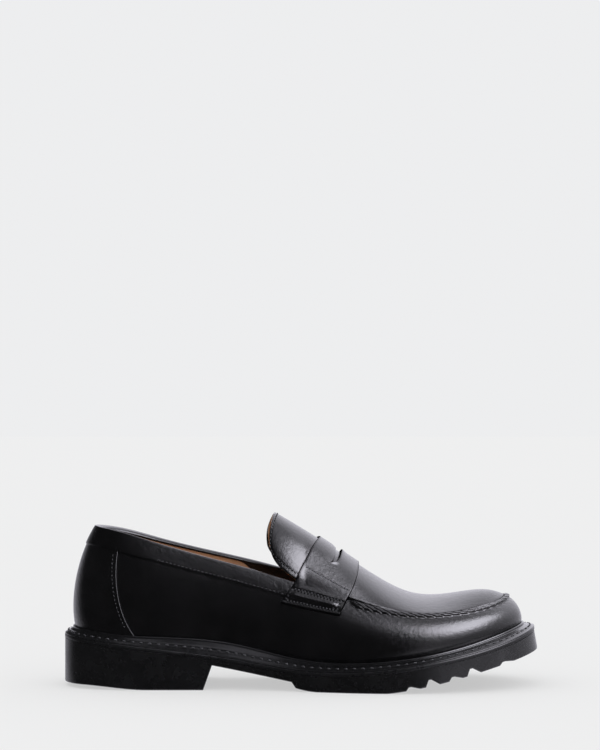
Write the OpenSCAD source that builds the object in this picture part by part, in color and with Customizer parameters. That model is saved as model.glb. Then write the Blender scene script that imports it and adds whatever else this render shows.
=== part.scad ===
// Penny loafer for the right foot: leather upper, stitched welt, lugged rubber sole.
// +X points to the toe, -Y to the outer (lateral) side, +Z up.
// The origin is on the ground, under the middle of the sole.

/* [Overall size] */
// Length over the sole, from heel to toe
shoe_l = 300; // [276:1:318]
// Width over the sole at the ball of the foot
shoe_w = 106; // [98:1:114]
// Height of the top of the tongue
shoe_h = 108.4; // [100:0.2:116]

/* [Upper] */
// Thickness of the outer leather
leather_t = 1.4; // [1.1:0.1:1.6]
// Thickness of the lining leather
lining_t = 0.9; // [0.6:0.1:1.0]
// Thickness of the heel stiffener and the toe puff
stiffener_t = 0.7; // [0.5:0.1:0.8]
// How far the heel cover stands proud of the vamp
heel_cover_proud = 0.7; // [0.4:0.1:1.0]
// Height of the raised rim along the apron seam
rim_h = 1.5; // [0.8:0.1:2.0]
// Depth of the collar band on the outside
collar_depth = 11; // [8:0.5:13]

/* [Saddle strap] */
// Thickness of the strap
strap_t = 1.7; // [1.2:0.1:2.2]
// Length of the slot over the instep, as a part of the apron's half width
slot_reach = 0.58; // [0.4:0.02:0.66]
// Width of the slot at the middle
slot_w = 3; // [2:0.2:4]

/* [Sole] */
// Height of the welt's edge
welt_edge = 0.7; // [0.5:0.1:1.0]
// Thickness of the midsole
midsole_t = 2.5; // [2:0.1:3]
// Size of the bead along the foot of the upper
bead_d = 1.9; // [1.4:0.1:2.4]
// Depth of the grooves between the lugs
lug_depth = 4.2; // [3:0.2:4.4]
// Height of the step in front of the waist
waist_step = 5.9; // [4:0.1:7]
// Spacing of the stitches along the welt
welt_pitch = 5.4; // [4.5:0.1:7]
// Spacing of the stitches along the apron seam
apron_pitch = 5.6; // [4.6:0.1:7]

/* [Hidden] */

ref_l = 299.7;
ref_w = 106;
ref_h = 108.4;
kx = shoe_l / ref_l;
ky = shoe_w / ref_w;
kz = shoe_h / ref_h;
gap = 0.05;
eps = 0.01;

// ---- Rings around the foot -------------------------------------------------------------
// Every outline round the shoe is a closed ring of 24 stations, 15 degrees apart: 0 is the
// heel, 1 to 11 the outer side, 12 the toe, 13 to 23 the inner side. Along the shoe a
// station lies at the cosine of its angle, across it a smooth B-spline joins the values.

function ring24(outer, inner) =
    concat(outer, [for (i = [11:-1:1]) inner[i]]);

// Foot of the upper, where it meets the welt
FOOT_Y = ring24([0, -16.9, -27.5, -31.8, -31.1, -29.5, -35.5, -45.3, -46.8, -39.8, -28, -13.1, 2],
                [0, 17, 27, 31, 28.7, 22.7, 26, 41, 48.3, 43.5, 33.3, 18.3, 2]);
FOOT_Z_SIDE = [37.1, 36.5, 34.5, 32.3, 31.9, 28.4, 17.2, 16.5, 20.1, 26.2, 33, 37.4, 39.1];
FOOT_Z = ring24(FOOT_Z_SIDE, FOOT_Z_SIDE);

// Topline at the back, apron seam at the front
TOP_Y = ring24([0, -13.8, -22.2, -26.5, -27.9, -29.1, -31.5, -36.9, -38.6, -34, -24.2, -11.2, 2],
               [0, 13.8, 22.2, 26.5, 27.9, 29.1, 31.5, 37.4, 39.8, 36.2, 27.4, 15.2, 2]);
TOP_Z = ring24([100.1, 99.5, 97.5, 91.3, 83.5, 75.5, 65.5, 54.5, 46.8, 47.2, 50.1, 54.2, 56.7],
               [100.1, 99.1, 96.7, 90.5, 83.6, 76.8, 67.5, 55.7, 47.3, 47.4, 50.1, 54.2, 56.7]);

// How far the wall swells out above the foot, and below the top
LOW_SWELL = ring24([0, -4, -5, -6, -6.5, -7, -8, -7.5, -6, -5, -3.5, -1.6, 0],
                   [0, 4, 5, 6, 5.5, 4, 4.5, 6, 6, 5, 3.5, 1.6, 0]);
HIGH_SWELL_SIDE = [0, 5, 7, 6.5, 5.6, 5.8, 7, 8.8, 9.2, 8.3, 6.5, 3.8, 0];
HIGH_SWELL = ring24([for (v = HIGH_SWELL_SIDE) -v], HIGH_SWELL_SIDE);
LOW_RISE_SIDE = [19, 18.5, 17, 16, 15, 12.5, 11.5, 11, 9, 8, 7, 5.8, 5];
LOW_RISE = ring24(LOW_RISE_SIDE, LOW_RISE_SIDE);
HIGH_DROP_SIDE = [17.9, 17.7, 17, 16.5, 16, 15, 13, 9.5, 5, 3.5, 3, 2.7, 2.5];
HIGH_DROP = ring24(HIGH_DROP_SIDE, HIGH_DROP_SIDE);

// Heel end and toe end of the wall's four rings, from the foot up to the top
BACK_X = [-142.9, -146.6, -141.1, -129.9];
TOE_X = [139.8, 141.4, 137.4, 129.7];

// Edge of the sole, and the height of the welt's upper edge along it
SOLE_Y = ring24([0, -20.8, -32.3, -35.6, -35.2, -35, -42.8, -52.8, -54.3, -46.8, -33.7, -16.8, 1.5],
                [0, 20.8, 32.3, 35.3, 33.8, 29.3, 33.6, 49.3, 54.6, 49.8, 38.9, 22.1, 1.5]);
EDGE_Z_SIDE = [33.3, 33, 31.4, 28.4, 24.9, 20.3, 12.3, 13.5, 18, 24.4, 30.3, 35.7, 38.1];
EDGE_Z = ring24(EDGE_Z_SIDE, EDGE_Z_SIDE);
SOLE_X = [-149.85, 148.05];
// The toe of the sole widens downwards, from the first x to the second
toe_flare = 1.8;
flare_x = [110, 145];

// Height of the ridge of the apron and tongue, every 12 mm from the tongue's tip forwards
RIDGE_X0 = -24.8;
RIDGE_STEP = 12;
RIDGE_Z = [120, 113.2, 106.5, 99.4, 91.8, 84.1, 76.2, 68.4, 61.4, 56.9, 55.9, 57.3, 59.3, 60.2, 56, 48];

// ---- Mathematics -----------------------------------------------------------------------
function bspline(a, b, c, d, f) =
    (a * pow(1 - f, 3) + b * (3 * pow(f, 3) - 6 * f * f + 4)
     + c * (-3 * pow(f, 3) + 3 * f * f + 3 * f + 1) + d * pow(f, 3)) / 6;
function bezier(p, t) =
    p[0] * pow(1 - t, 3) + 3 * p[1] * t * pow(1 - t, 2) + 3 * p[2] * t * t * (1 - t) + p[3] * pow(t, 3);
function mix(a, b, t) = a + (b - a) * t;
function unit(v) = v / norm(v);
function clamp(v, lo, hi) = min(max(v, lo), hi);
function smooth(v) = let (t = clamp(v, 0, 1)) t * t * (3 - 2 * t);
function span(a, b, n) = [for (i = [0:n]) mix(a, b, i / n)];

// Value of a ring at station r, along with its share of the length
function ring(values, r) =
    let (k = floor(r), i = (k % 24 + 24) % 24)
    bspline(values[(i + 23) % 24], values[i], values[(i + 1) % 24], values[(i + 2) % 24], r - k);
function along(r) = (1 - cos(15 * r)) / 2;
// Station on the outer (-1) or inner (+1) side at a share of the length
function station(share, side) =
    let (u = acos(clamp(1 - 2 * share, -1, 1)) / 15) side < 0 ? u : 24 - u;

// Height of the ridge at x, before scaling
function ridge(x) =
    let (v = (x - RIDGE_X0) / RIDGE_STEP + 1, k = floor(v))
    bspline(RIDGE_Z[k - 1], RIDGE_Z[k], RIDGE_Z[k + 1], RIDGE_Z[k + 2], v - k);

// ---- Surfaces --------------------------------------------------------------------------
// Wall of the upper: r is the station, t runs from the foot (0) to the top (1)
function wall(r, t) =
    let (y0 = ring(FOOT_Y, r), y3 = ring(TOP_Y, r), z0 = ring(FOOT_Z, r), z3 = ring(TOP_Z, r),
         y1 = y0 + ring(LOW_SWELL, r), y2 = y3 + ring(HIGH_SWELL, r),
         z1 = z0 + ring(LOW_RISE, r), z2 = z3 - ring(HIGH_DROP, r))
    [kx * mix(bezier(BACK_X, t), bezier(TOE_X, t), along(r)),
     ky * bezier([y0, y1, y2, y3], t), kz * bezier([z0, z1, z2, z3], t)];
function wall_normal(r, t) =
    unit(cross(wall(r + eps, t) - wall(r - eps, t), wall(r, t + eps) - wall(r, t - eps)));
function wall_off(r, t, d) = wall(r, t) + d * wall_normal(r, t);
// Station of the wall at height share t where it reaches x on one side
function wall_station(x, t, side) =
    let (a = bezier(BACK_X, t), b = bezier(TOE_X, t)) station((x / kx - a) / (b - a), side);
// Share t at a depth below the top, measured down the wall, which bends away from its tangent
depth_bend = 4;
function depth_t(r, depth) =
    1 - depth / (3 * norm([ring(HIGH_SWELL, r), ring(HIGH_DROP, r)]) + depth_bend);

// Outline rings in plan: the foot of the upper and the sole edge, moved out by d
function foot(r) = [kx * mix(BACK_X[0], TOE_X[0], along(r)), ky * ring(FOOT_Y, r)];
function sole(r) = [kx * mix(SOLE_X[0], SOLE_X[1], along(r)), ky * ring(SOLE_Y, r)];
function outward(a, b) = unit([(b - a)[1], -(b - a)[0]]);
function foot_out(r, d) = foot(r) + d * outward(foot(r - eps), foot(r + eps));
function sole_out(r, d) = sole(r) + d * outward(sole(r - eps), sole(r + eps));
function foot_z(r) = kz * ring(FOOT_Z, r);
function edge_z(r) = kz * ring(EDGE_Z, r);
function at(p, z) = [p[0], p[1], z];

// Apron and tongue: q runs along it, 0 at the toe, 1 at the throat, 2 at the tongue's tip;
// w runs across it, -1 at the outer edge, 0 on the ridge, 1 at the inner edge
throat_x = 2;
tongue_x = -16.8;
tongue_back = 3;
// The tongue's rear edge bows back on both sides of the ridge
tongue_bow = 1.6;
function throat_edge(side) =
    let (x = throat_x * kx, p = wall(wall_station(x, 1, side), 1)) [p[0] / kx, p[1] / ky, p[2] / kz];
function tongue_edge(side, f) =
    let (a = throat_edge(side), back = side > 0 ? tongue_back : 0)
    bezier([a, [-6 - back * 0.5, side * 32.5, 71.5 + back * 0.3],
            [-19.6 - back, side * 31, 77 + back * 0.3], [-19.2 - back, side * 23, 88]], f);
function apron_edge(q, side) =
    q >= 1 ? tongue_edge(side, q - 1) :
    let (x = mix(TOE_X[3], throat_x, 1 - cos(90 * q)) * kx, p = wall(wall_station(x, 1, side), 1))
    [p[0] / kx, p[1] / ky, p[2] / kz];
function ridge_x(q) = q >= 1 ? mix(throat_x, tongue_x, q - 1) : mix(TOE_X[3], throat_x, 1 - cos(90 * q));
function ridge_y(q) = 2 * smooth(1 - q * 1.4);
// Angle of the arc that the section follows on each side of the ridge
function arch(q) = mix(46, 66, smooth(q * 1.1));
// The front of the apron is flatter than an arc: a low crest with nearly straight sides
crest_power = 0.775;
crest_width = 0.25;
function crest_part(v) = pow(v * v + crest_width * crest_width, crest_power);
function crest(v) = (crest_part(v) - crest_part(0)) / (crest_part(1) - crest_part(0));
function fall(q, a) =
    let (turn = arch(q), v = sin(a * turn) / sin(turn))
    mix(crest(v), (1 - cos(a * turn)) / (1 - cos(turn)), smooth((q - 0.5) / 0.45));
function apron_at(q, w) =
    let (side = w < 0 ? -1 : 1, a = abs(w), e = apron_edge(q, side), x = ridge_x(q), turn = arch(q),
         top = max(ridge(x), e[2] + 0.01))
    [kx * (mix(x, e[0], pow(a, 1.3)) - tongue_bow * smooth((q - 1.3) / 0.6) * sin(180 * pow(a, 2.2))),
     ky * mix(ridge_y(q), e[1], sin(a * turn) / sin(turn)), kz * mix(top, e[2], fall(q, a))];
function apron_normal(q, w) =
    unit(cross(apron_at(q - eps, w) - apron_at(q + eps, w), apron_at(q, w + eps) - apron_at(q, w - eps)));
function apron_off(q, w, d) = apron_at(q, w) + d * apron_normal(q, w);

// ---- Solids from grids of points -------------------------------------------------------
function joined(grid) = [for (row = grid) for (p = row) p];
function strip(a, b, c, d) = [[a, b, c], [a, c, d]];

// Closed solid between two matching grids of points, with closed edges
module skin(upper, lower) {
    n = len(upper);
    m = len(upper[0]);
    k = n * m;
    over = [for (i = [0:n - 2]) for (j = [0:m - 2])
        each strip(i * m + j, i * m + j + 1, (i + 1) * m + j + 1, (i + 1) * m + j)];
    under = [for (f = over) [f[0] + k, f[2] + k, f[1] + k]];
    rim = concat([for (j = [0:m - 2]) j], [for (i = [0:n - 2]) i * m + m - 1],
                 [for (j = [m - 1:-1:1]) (n - 1) * m + j], [for (i = [n - 1:-1:1]) i * m]);
    edge = [for (i = [0:len(rim) - 1])
        let (a = rim[i], b = rim[(i + 1) % len(rim)]) each strip(b, a, a + k, b + k)];
    polyhedron(concat(joined(upper), joined(lower)), concat(over, under, edge));
}

// Closed solid through a row of closed sections; the ends are capped unless it is a ring
module loft(sections, closed = false) {
    n = len(sections);
    m = len(sections[0]);
    sides = [for (i = [0:closed ? n - 1 : n - 2]) for (j = [0:m - 1])
        let (i2 = (i + 1) % n, j2 = (j + 1) % m)
        each strip(i * m + j, i * m + j2, i2 * m + j2, i2 * m + j)];
    caps = closed ? [] : [[for (j = [m - 1:-1:0]) j], [for (j = [0:m - 1]) (n - 1) * m + j]];
    polyhedron(joined(sections), concat(sides, caps));
}

// Flat layer of the shoe's bottom, between two stations, inset from the foot or the sole
module layer(stations, inset, top, bottom, on_sole = false) {
    loft([for (u = stations)
        let (a = on_sole ? sole_out(u, -inset) : foot_out(u, -inset),
             b = on_sole ? sole_out(24 - u, -inset) : foot_out(24 - u, -inset))
        [at(a, bottom(u)), at(a, top(u)), at(b, top(u)), at(b, bottom(u))]]);
}

// One stitch between two points, a little rod of thread
module stitch(a, b, d) {
    v = b - a;
    h = norm(v);
    translate(a)
        rotate([0, acos(v[2] / h), atan2(v[1], v[0])])
            cylinder(h = h, d = d, $fn = 16);
}

// Row of stitches along a path of points, each filling a share of its step
module stitch_row(points, d, fill = 0.62) {
    for (i = [0:len(points) - 2])
        stitch(mix(points[i], points[i + 1], (1 - fill) / 2),
               mix(points[i], points[i + 1], (1 + fill) / 2), d);
}

// Points spaced evenly along a path that is given as a fine list of points
function lengths(p) =
    [for (i = 0, s = 0; i < len(p); s = s + norm(p[min(i + 1, len(p) - 1)] - p[i]), i = i + 1) s];
function even(p, pitch) =
    let (s = lengths(p), total = s[len(s) - 1], n = round(total / pitch),
         index = [for (i = [0:len(p) - 1]) [s[i], i]])
    [for (j = [0:n]) let (f = lookup(total * j / n, index), k = min(floor(f), len(p) - 2))
        mix(p[k], p[k + 1], f - k)];

// ---- Sole ------------------------------------------------------------------------------
heel_front = -61;
breast_run = 5.5;
breast_top = 15.4;
// The heel's rear is worn-in: it lifts off the ground by this much over this run
heel_bevel = 2.6;
heel_bevel_x = -96;
heel_bevel_run = 40;
// The waist ends in a short step down to the tread, which fades out at tread_front
waist_end = -6;
step_foot_x = -3.5;
step_foot = 2.2;
tread_front = 12;
spring_start = 52;
spring_rise = 0.0602;
spring_power = 1.3;
edge_bevel = 1;
rim_width = 3;
block_width = 13;
channel = 3.2;
channel_depth = 0.7;
draft = 0.7;
end_u = 0.1;

// Underside of the sole at x, before scaling: heel, waist, tread and toe spring
function underside(x) =
    let (waist_x = heel_front + breast_run)
    x < heel_front ? heel_bevel * smooth((heel_bevel_x - x) / heel_bevel_run) :
    x < waist_x ? breast_top * (x - heel_front) / breast_run :
    x < waist_end ? mix(breast_top, waist_step, (x - waist_x) / (waist_end - waist_x)) :
    x < step_foot_x ? mix(waist_step, step_foot, (x - waist_end) / (step_foot_x - waist_end)) :
    x < tread_front ? step_foot * pow((tread_front - x) / (tread_front - step_foot_x), 2) :
    x < spring_start ? 0 :
    spring_rise * pow(x - spring_start, spring_power);

// Transverse grooves: place, depth as a share of lug_depth, and whether they reach the side
GROOVES = [[-138, 0.7, 0], [-124, 0.7, 0], [-110, 0.7, 0], [-96, 0.7, 0], [-82, 0.7, 0], [-68.5, 0.7, 0],
           [7, 0.7, 0], [19, 1, 0], [31, 0.7, 0], [43, 1, 0], [54.5, 0.7, 0],
           [66, 0.5, 1], [78.2, 1, 1], [92.6, 0.55, 1], [104, 1, 1], [124.6, 0.4, 1], [137, 0.4, 0]];
groove_back = 1.6;
groove_flat = 1.6;
groove_front = 5.5;

function groove_lines(g) = [g[0] - groove_back, g[0], g[0] + groove_flat, g[0] + groove_flat + groove_front];
sole_lines = concat(
    [for (u = [end_u, 0.4, 0.75, 1.1]) mix(SOLE_X[0], SOLE_X[1], along(u))],
    [for (g = GROOVES) if (g[0] < -60) each groove_lines(g)],
    [heel_front, heel_front + breast_run, -44, -30, -18, waist_end, step_foot_x, -0.5, 2.5],
    [for (g = GROOVES) if (g[0] > 0) each groove_lines(g)],
    [for (u = [11.35, 11.6, 11.8, 12 - end_u]) mix(SOLE_X[0], SOLE_X[1], along(u))]);

// Depth of a transverse groove at x, inside (rim = 0) or on the side (rim = 1) of the sole
function groove_at(x, rim) =
    max([0, for (g = GROOVES) if (rim == 0 || g[2] == 1)
        let (f = x < g[0] ? (x - g[0] + groove_back) / groove_back :
                 1 - (x - g[0] - groove_flat) / groove_front)
        g[1] * clamp(f, 0, 1)]);
// Lengthwise channels run under the heel and the forepart, not under the waist
heel_channel_x = [-142, -67];
tread_channel_x = [5, 138];
function between(x, ends) = x > ends[0] && x < ends[1];
function channel_at(x) = between(x, heel_channel_x) || between(x, tread_channel_x) ? 1 : 0;

function sole_share(x) = (x - SOLE_X[0]) / (SOLE_X[1] - SOLE_X[0]);
function sole_section(x) =
    let (u = station(sole_share(x), -1), share = sole_share(x), z = kz * underside(x),
         flare = toe_flare * smooth((x - flare_x[0]) / (flare_x[1] - flare_x[0])),
         a = sole_out(u, 0), b = sole_out(24 - u, 0), a2 = sole_out(u, flare), b2 = sole_out(24 - u, flare),
         top = edge_z(u) - welt_edge - midsole_t - gap,
         half = (b2[1] - a2[1]) / 2,
         side = z + lug_depth * groove_at(x, 1),
         inner = z + lug_depth * groove_at(x, 0),
         deep = z + lug_depth * max(channel_depth * channel_at(x), groove_at(x, 0)),
         steps = [[edge_bevel, side], [rim_width, side], [rim_width + draft, inner],
                  [block_width, inner], [block_width + draft, deep], [block_width + draft + channel, deep],
                  [block_width + 2 * draft + channel, inner]],
         fit = min(1, (half - 0.6) / (block_width + 2 * draft + channel)),
         mid = (a2[1] + b2[1]) / 2)
    concat([[a[0], a[1], top], [a2[0], a2[1], side + edge_bevel]],
           [for (s = steps) [a2[0], a2[1] + s[0] * fit, s[1]]],
           [[a2[0], mid - 0.2, inner], [a2[0], mid + 0.2, inner]],
           [for (i = [6:-1:0]) [b2[0], b2[1] - steps[i][0] * fit, steps[i][1]]],
           [[b2[0], b2[1], side + edge_bevel], [b[0], b[1], top]]);

module outsole() {
    color([0.09, 0.09, 0.09])
        loft([for (x = sole_lines) sole_section(x)]);
}

bottom_u = [for (i = [0:40]) mix(end_u, 12 - end_u, i / 40)];

module midsole() {
    color([0.16, 0.16, 0.16])
        layer(bottom_u, 0, function(u) edge_z(u) - welt_edge, function(u) edge_z(u) - welt_edge - midsole_t,
              true);
}

// Welt: flat on the midsole, its top slopes from the bead down to the sole's edge
function welt_slope(r, f) =
    let (a = sole(r), b = foot_out(r, bead_d))
    at(mix(a, b, f), mix(edge_z(r), foot_z(r) - bead_d * 0.3, f));
function welt_section(r) =
    let (a = sole(r), low = edge_z(r) - welt_edge + gap, f = foot_z(r))
    [at(foot_out(r, gap), low), at(foot_out(r, gap), f + bead_d * 0.3),
     at(foot_out(r, bead_d * 0.4), f + bead_d * 0.6), at(foot_out(r, bead_d * 0.85), f + bead_d * 0.35),
     welt_slope(r, 1), at(a, edge_z(r)), at(a, low)];

module welt() {
    color([0.06, 0.06, 0.06])
        loft([for (i = [0:71]) welt_section(i / 3)], true);
}

// The stitches lie this share of the way in from the sole's edge
welt_stitch_place = 0.42;
welt_thread_d = 0.8;

module welt_stitching() {
    path = [for (i = [0:192]) welt_slope(i / 8, welt_stitch_place) + [0, 0, 0.2]];
    color([0.2, 0.2, 0.2])
        stitch_row(even(path, welt_pitch), welt_thread_d);
}

// ---- Inside of the bottom --------------------------------------------------------------
board_t = 2.2;
board_inset = 3.5;
shank_t = 1.2;
shank_w = 13;
shank_x = [-104, 4];
pad_t = 2.4;
pad_end_x = -44;
pad_fade = 28;
pad_least = 0.15;
sock_t = 1.1;
function board_low(u) = foot_z(u) - 1.4;
function board_top(u) = board_low(u) + board_t;
function foot_x(u) = mix(BACK_X[0], TOE_X[0], along(u));
function foot_station(x) = station((x - BACK_X[0]) / (TOE_X[0] - BACK_X[0]), -1);
// The foam pad thins out towards the waist
function pad_height(u) = pad_t * smooth((pad_end_x - foot_x(u)) / pad_fade) + pad_least;

module insole_board() {
    color([0.72, 0.62, 0.46])
        layer(bottom_u, board_inset, function(u) board_top(u), function(u) board_low(u));
}

module cork_filler() {
    clear = shank_t + 3 * gap;
    color([0.55, 0.38, 0.22])
        layer(bottom_u, board_inset + 1.5,
              function(u) board_low(u) - gap - clear * smooth((shank_x[1] + 10 - foot_x(u)) / 6),
              function(u) edge_z(u) - welt_edge + gap);
}

module shank() {
    stations = span(foot_station(shank_x[0]), foot_station(shank_x[1]), 14);
    color([0.6, 0.62, 0.64])
        loft([for (u = stations) let (x = kx * foot_x(u), z = board_low(u) - gap)
            [[x, -shank_w / 2, z - shank_t], [x, -shank_w / 2, z], [x, shank_w / 2, z],
             [x, shank_w / 2, z - shank_t]]]);
}

module heel_pad() {
    stations = span(0.6, foot_station(pad_end_x - 2), 12);
    color([0.25, 0.4, 0.55])
        layer(stations, board_inset + 3, function(u) board_top(u) + gap + pad_height(u),
              function(u) board_top(u) + gap);
}

module sock_lining() {
    color([0.6, 0.42, 0.27])
        layer(bottom_u, board_inset + 0.2,
              function(u) board_top(u) + 3 * gap + sock_t + pad_height(u),
              function(u) board_top(u) + 3 * gap + pad_height(u));
}

// ---- Upper -----------------------------------------------------------------------------
wall_t = span(0, 1, 7);

// Seam between the heel cover and the vamp: x at each height share
function heel_seam_x(t) = bezier([-103, -116, -118, -111.5], t);
function heel_seam(t, side) = wall_station(kx * heel_seam_x(t), t, side);
collar_t = 0.8;

// Raised rim along the apron seam, fading out under the strap
rim_start = 0.58;
rim_run = 0.03;
rim_foot_t = 0.9;
rim_rise_t = 0.08;
function rim_fade(r) = smooth((along(r) - rim_start) / rim_run);
function rim_lift(r, t) = rim_h * rim_fade(r) * smooth((t - rim_foot_t) / rim_rise_t);

module vamp() {
    rows = [0, 0.14, 0.3, 0.46, 0.62, 0.78, 0.9, 0.97, 1];
    n = 56;
    outer = [for (t = rows) [for (i = [0:n])
        let (r = mix(heel_seam(t, -1), heel_seam(t, 1), i / n)) wall_off(r, t, rim_lift(r, t))]];
    inner = [for (t = rows) [for (i = [0:n])
        let (r = mix(heel_seam(t, -1), heel_seam(t, 1), i / n)) wall_off(r, t, -leather_t)]];
    color([0.07, 0.07, 0.075])
        skin(outer, inner);
}

module heel_cover() {
    n = 22;
    function r_at(t, i) = mix(heel_seam(t, 1) - 24, heel_seam(t, -1), i / n);
    outer = [for (t = wall_t) [for (i = [0:n]) wall_off(r_at(t, i), t, heel_cover_proud)]];
    inner = [for (t = wall_t) [for (i = [0:n]) wall_off(r_at(t, i), t, heel_cover_proud - leather_t)]];
    color([0.06, 0.06, 0.065])
        translate([-0.02, 0, 0])
            skin(outer, inner);
}

stiffener_reach = 3.6;
puff_r = [9.9, 14.1];

module heel_stiffener() {
    n = 20;
    rows = span(0.02, 0.72, 5);
    low = -leather_t - gap;
    outer = [for (t = rows) [for (i = [0:n])
        wall_off(mix(-stiffener_reach, stiffener_reach, i / n), t, low)]];
    inner = [for (t = rows) [for (i = [0:n])
        wall_off(mix(-stiffener_reach, stiffener_reach, i / n), t, low - stiffener_t)]];
    color([0.75, 0.7, 0.6])
        skin(outer, inner);
}

module toe_puff() {
    n = 18;
    rows = span(0.04, 0.96, 5);
    low = -leather_t - gap;
    outer = [for (t = rows) [for (i = [0:n]) wall_off(mix(puff_r[0], puff_r[1], i / n), t, low)]];
    inner = [for (t = rows) [for (i = [0:n])
        wall_off(mix(puff_r[0], puff_r[1], i / n), t, low - stiffener_t)]];
    color([0.7, 0.68, 0.62])
        skin(outer, inner);
}

lining_d = leather_t + stiffener_t + 2 * gap;
lining_join_x = -6;

module wall_lining(r_from, r_to, n, rows) {
    outer = [for (t = rows) [for (i = [0:n]) wall_off(mix(r_from, r_to, i / n), t, -lining_d)]];
    inner = [for (t = rows) [for (i = [0:n]) wall_off(mix(r_from, r_to, i / n), t, -lining_d - lining_t)]];
    skin(outer, inner);
}

module vamp_lining() {
    a = wall_station(lining_join_x, 0.5, -1);
    b = wall_station(lining_join_x, 0.5, 1);
    color([0.62, 0.45, 0.3])
        wall_lining(a + 0.02, b - 0.02, 36, span(0.02, 0.94, 5));
}

module quarter_lining() {
    a = wall_station(lining_join_x, 0.5, -1);
    b = wall_station(lining_join_x, 0.5, 1) - 24;
    color([0.66, 0.47, 0.31])
        wall_lining(b + 0.02, a - 0.02, 36, span(0.02, 0.985, 6));
}

apron_q_list = concat(span(0.08, 1, 20), span(1.08, 2, 9));
apron_w_list = span(-1, 1, 14);

module apron() {
    upper = [for (q = apron_q_list) [for (w = apron_w_list) apron_off(q, w, 0)]];
    lower = [for (q = apron_q_list) [for (w = apron_w_list) apron_off(q, w, -leather_t)]];
    color([0.08, 0.08, 0.085])
        skin(upper, lower);
}

module apron_lining() {
    rows = [for (q = apron_q_list) if (q > 0.3) min(q, 1.985)];
    cols = [for (w = apron_w_list) w * 0.93];
    low = -leather_t - gap;
    upper = [for (q = rows) [for (w = cols) apron_off(q, w, low)]];
    lower = [for (q = rows) [for (w = cols) apron_off(q, w, low - lining_t)]];
    color([0.66, 0.47, 0.31])
        skin(upper, lower);
}

// Collar: a folded band over the topline, as a section in distance out and height above the top
collar_skin = 0.6;
collar_in = lining_d + lining_t + gap;
collar_inner_depth = 1.4;
// The band lifts over the heel cover, which reaches this many stations round from the heel
cover_reach = 3.6;
cover_fade = 0.4;
// The fold's inner edge runs this much deeper from here forwards, towards the throat
facing_depth = 14;
facing_x = -40;
facing_run = 24;
function facing(r) = facing_depth * smooth((wall(r, 1)[0] / kx - facing_x) / facing_run);
// The section starts at the outer lower edge, goes over the top and comes back inside the fold
function collar_profile() =
    let (o = gap + collar_skin, i = -collar_in - collar_skin)
    [[o, -collar_depth], [o, -3], [o, -0.5], [o - 0.6, 0.35], [mix(o, i, 0.5), 0.7], [i + 0.6, 0.35],
     [i, -0.5], [i, -collar_inner_depth], [-collar_in, -collar_inner_depth], [-collar_in, -0.6],
     [-1.4, gap], [gap, -0.6], [gap, -3], [gap, -collar_depth]];
function collar_point(r, p) =
    let (rise = max(p[1], 0), inner_edge = p[0] < -lining_d && p[1] < -1,
         t = depth_t(r, -min(p[1], 0) + (inner_edge ? facing(r) : 0)), n = wall_normal(r, t),
         up = unit(wall(r, 1) - wall(r, 0.97)),
         proud = heel_cover_proud * smooth((cover_reach - min(r % 24, 24 - r % 24)) / cover_fade))
    wall(r, t) + (p[0] + (p[0] > 0 ? proud : 0)) * n + rise * up;
collar_end = wall_station(kx, 1, -1);

module collar() {
    n = 44;
    profile = collar_profile();
    color([0.05, 0.05, 0.05])
        loft([for (i = [0:n]) let (r = mix(24 - collar_end, 24 + collar_end, i / n))
            [for (p = profile) collar_point(r, p)]]);
}

// ---- Saddle strap ----------------------------------------------------------------------
// f runs from the strap's rear edge (0) to its front edge (1); a runs across it: up to 1 it
// lies on the apron, as w does, and from 1 to strap_end it hangs down the wall
strap_end = 1.36;
strap_rear = [11, -14.5, 1.5];
strap_front = [35.8, -7.2, 2.8];
strap_drop = [14.8, 12.4];
strap_shift = [-9.2, -4.8];
slot_place = 0.49;
// How far the slot's middle line bends back beside the ridge, and curls back at its ends
slot_bend = -2.1;
slot_curl = 3.7;
// Height of the strap's underside over the apron, over the collar and at its ends
strap_foot = [0.1, 0.95, 0.4];
function strap_x(f, a) =
    let (w = min(abs(a), 1), rear = strap_rear[0] + strap_rear[1] * pow(w, strap_rear[2]),
         front = strap_front[0] + strap_front[1] * pow(w, strap_front[2]))
    mix(rear, front, f);
// Place along the apron whose surface reaches x at distance w from the ridge
function strap_q(x, w, side, lo = 0.2, hi = 1.9, n = 14) =
    n == 0 ? (lo + hi) / 2 :
    let (m = (lo + hi) / 2) apron_at(m, side * w)[0] > x * kx ? strap_q(x, w, side, m, hi, n - 1)
                                                              : strap_q(x, w, side, lo, m, n - 1);
function strap_point(f, a, d) =
    let (side = a < 0 ? -1 : 1, w = abs(a), x = strap_x(f, a))
    w <= 1 ? let (q = strap_q(x, w, side)) apron_off(q, side * w, d) :
    let (s = (w - 1) / (strap_end - 1), r0 = wall_station(kx * x, 1, side),
         t = depth_t(r0, s * mix(strap_drop[0], strap_drop[1], f)),
         r = wall_station(kx * (x + s * mix(strap_shift[0], strap_shift[1], f)), t, side))
    wall_off(r, t, d);

function foot_at(a) =
    mix(mix(strap_foot[0], strap_foot[1], smooth((abs(a) - 0.6) / 0.37)), strap_foot[2],
        smooth((abs(a) - 1.2) / 0.16));

// The slot is a lens across the ridge
function slot_half(a) = abs(a) >= slot_reach ? 0 : slot_w / 2 * sqrt(1 - pow(a / slot_reach, 2));
function slot_f(a, edge) =
    let (w = min(abs(a), slot_reach), long = strap_x(1, a) - strap_x(0, a),
         v = w / slot_reach,
         middle = slot_place - (slot_bend * pow(v, 2) + slot_curl * pow(v, 8)) / long)
    middle + edge * slot_half(a) / long;

strap_a_list = concat([for (i = [0:4]) mix(-strap_end, -1.02, i / 4)], [-0.9, -0.76],
                      [for (i = [-6:6]) slot_reach * i / 6], [0.76, 0.9],
                      [for (i = [4:-1:0]) mix(strap_end, 1.02, i / 4)]);

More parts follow.
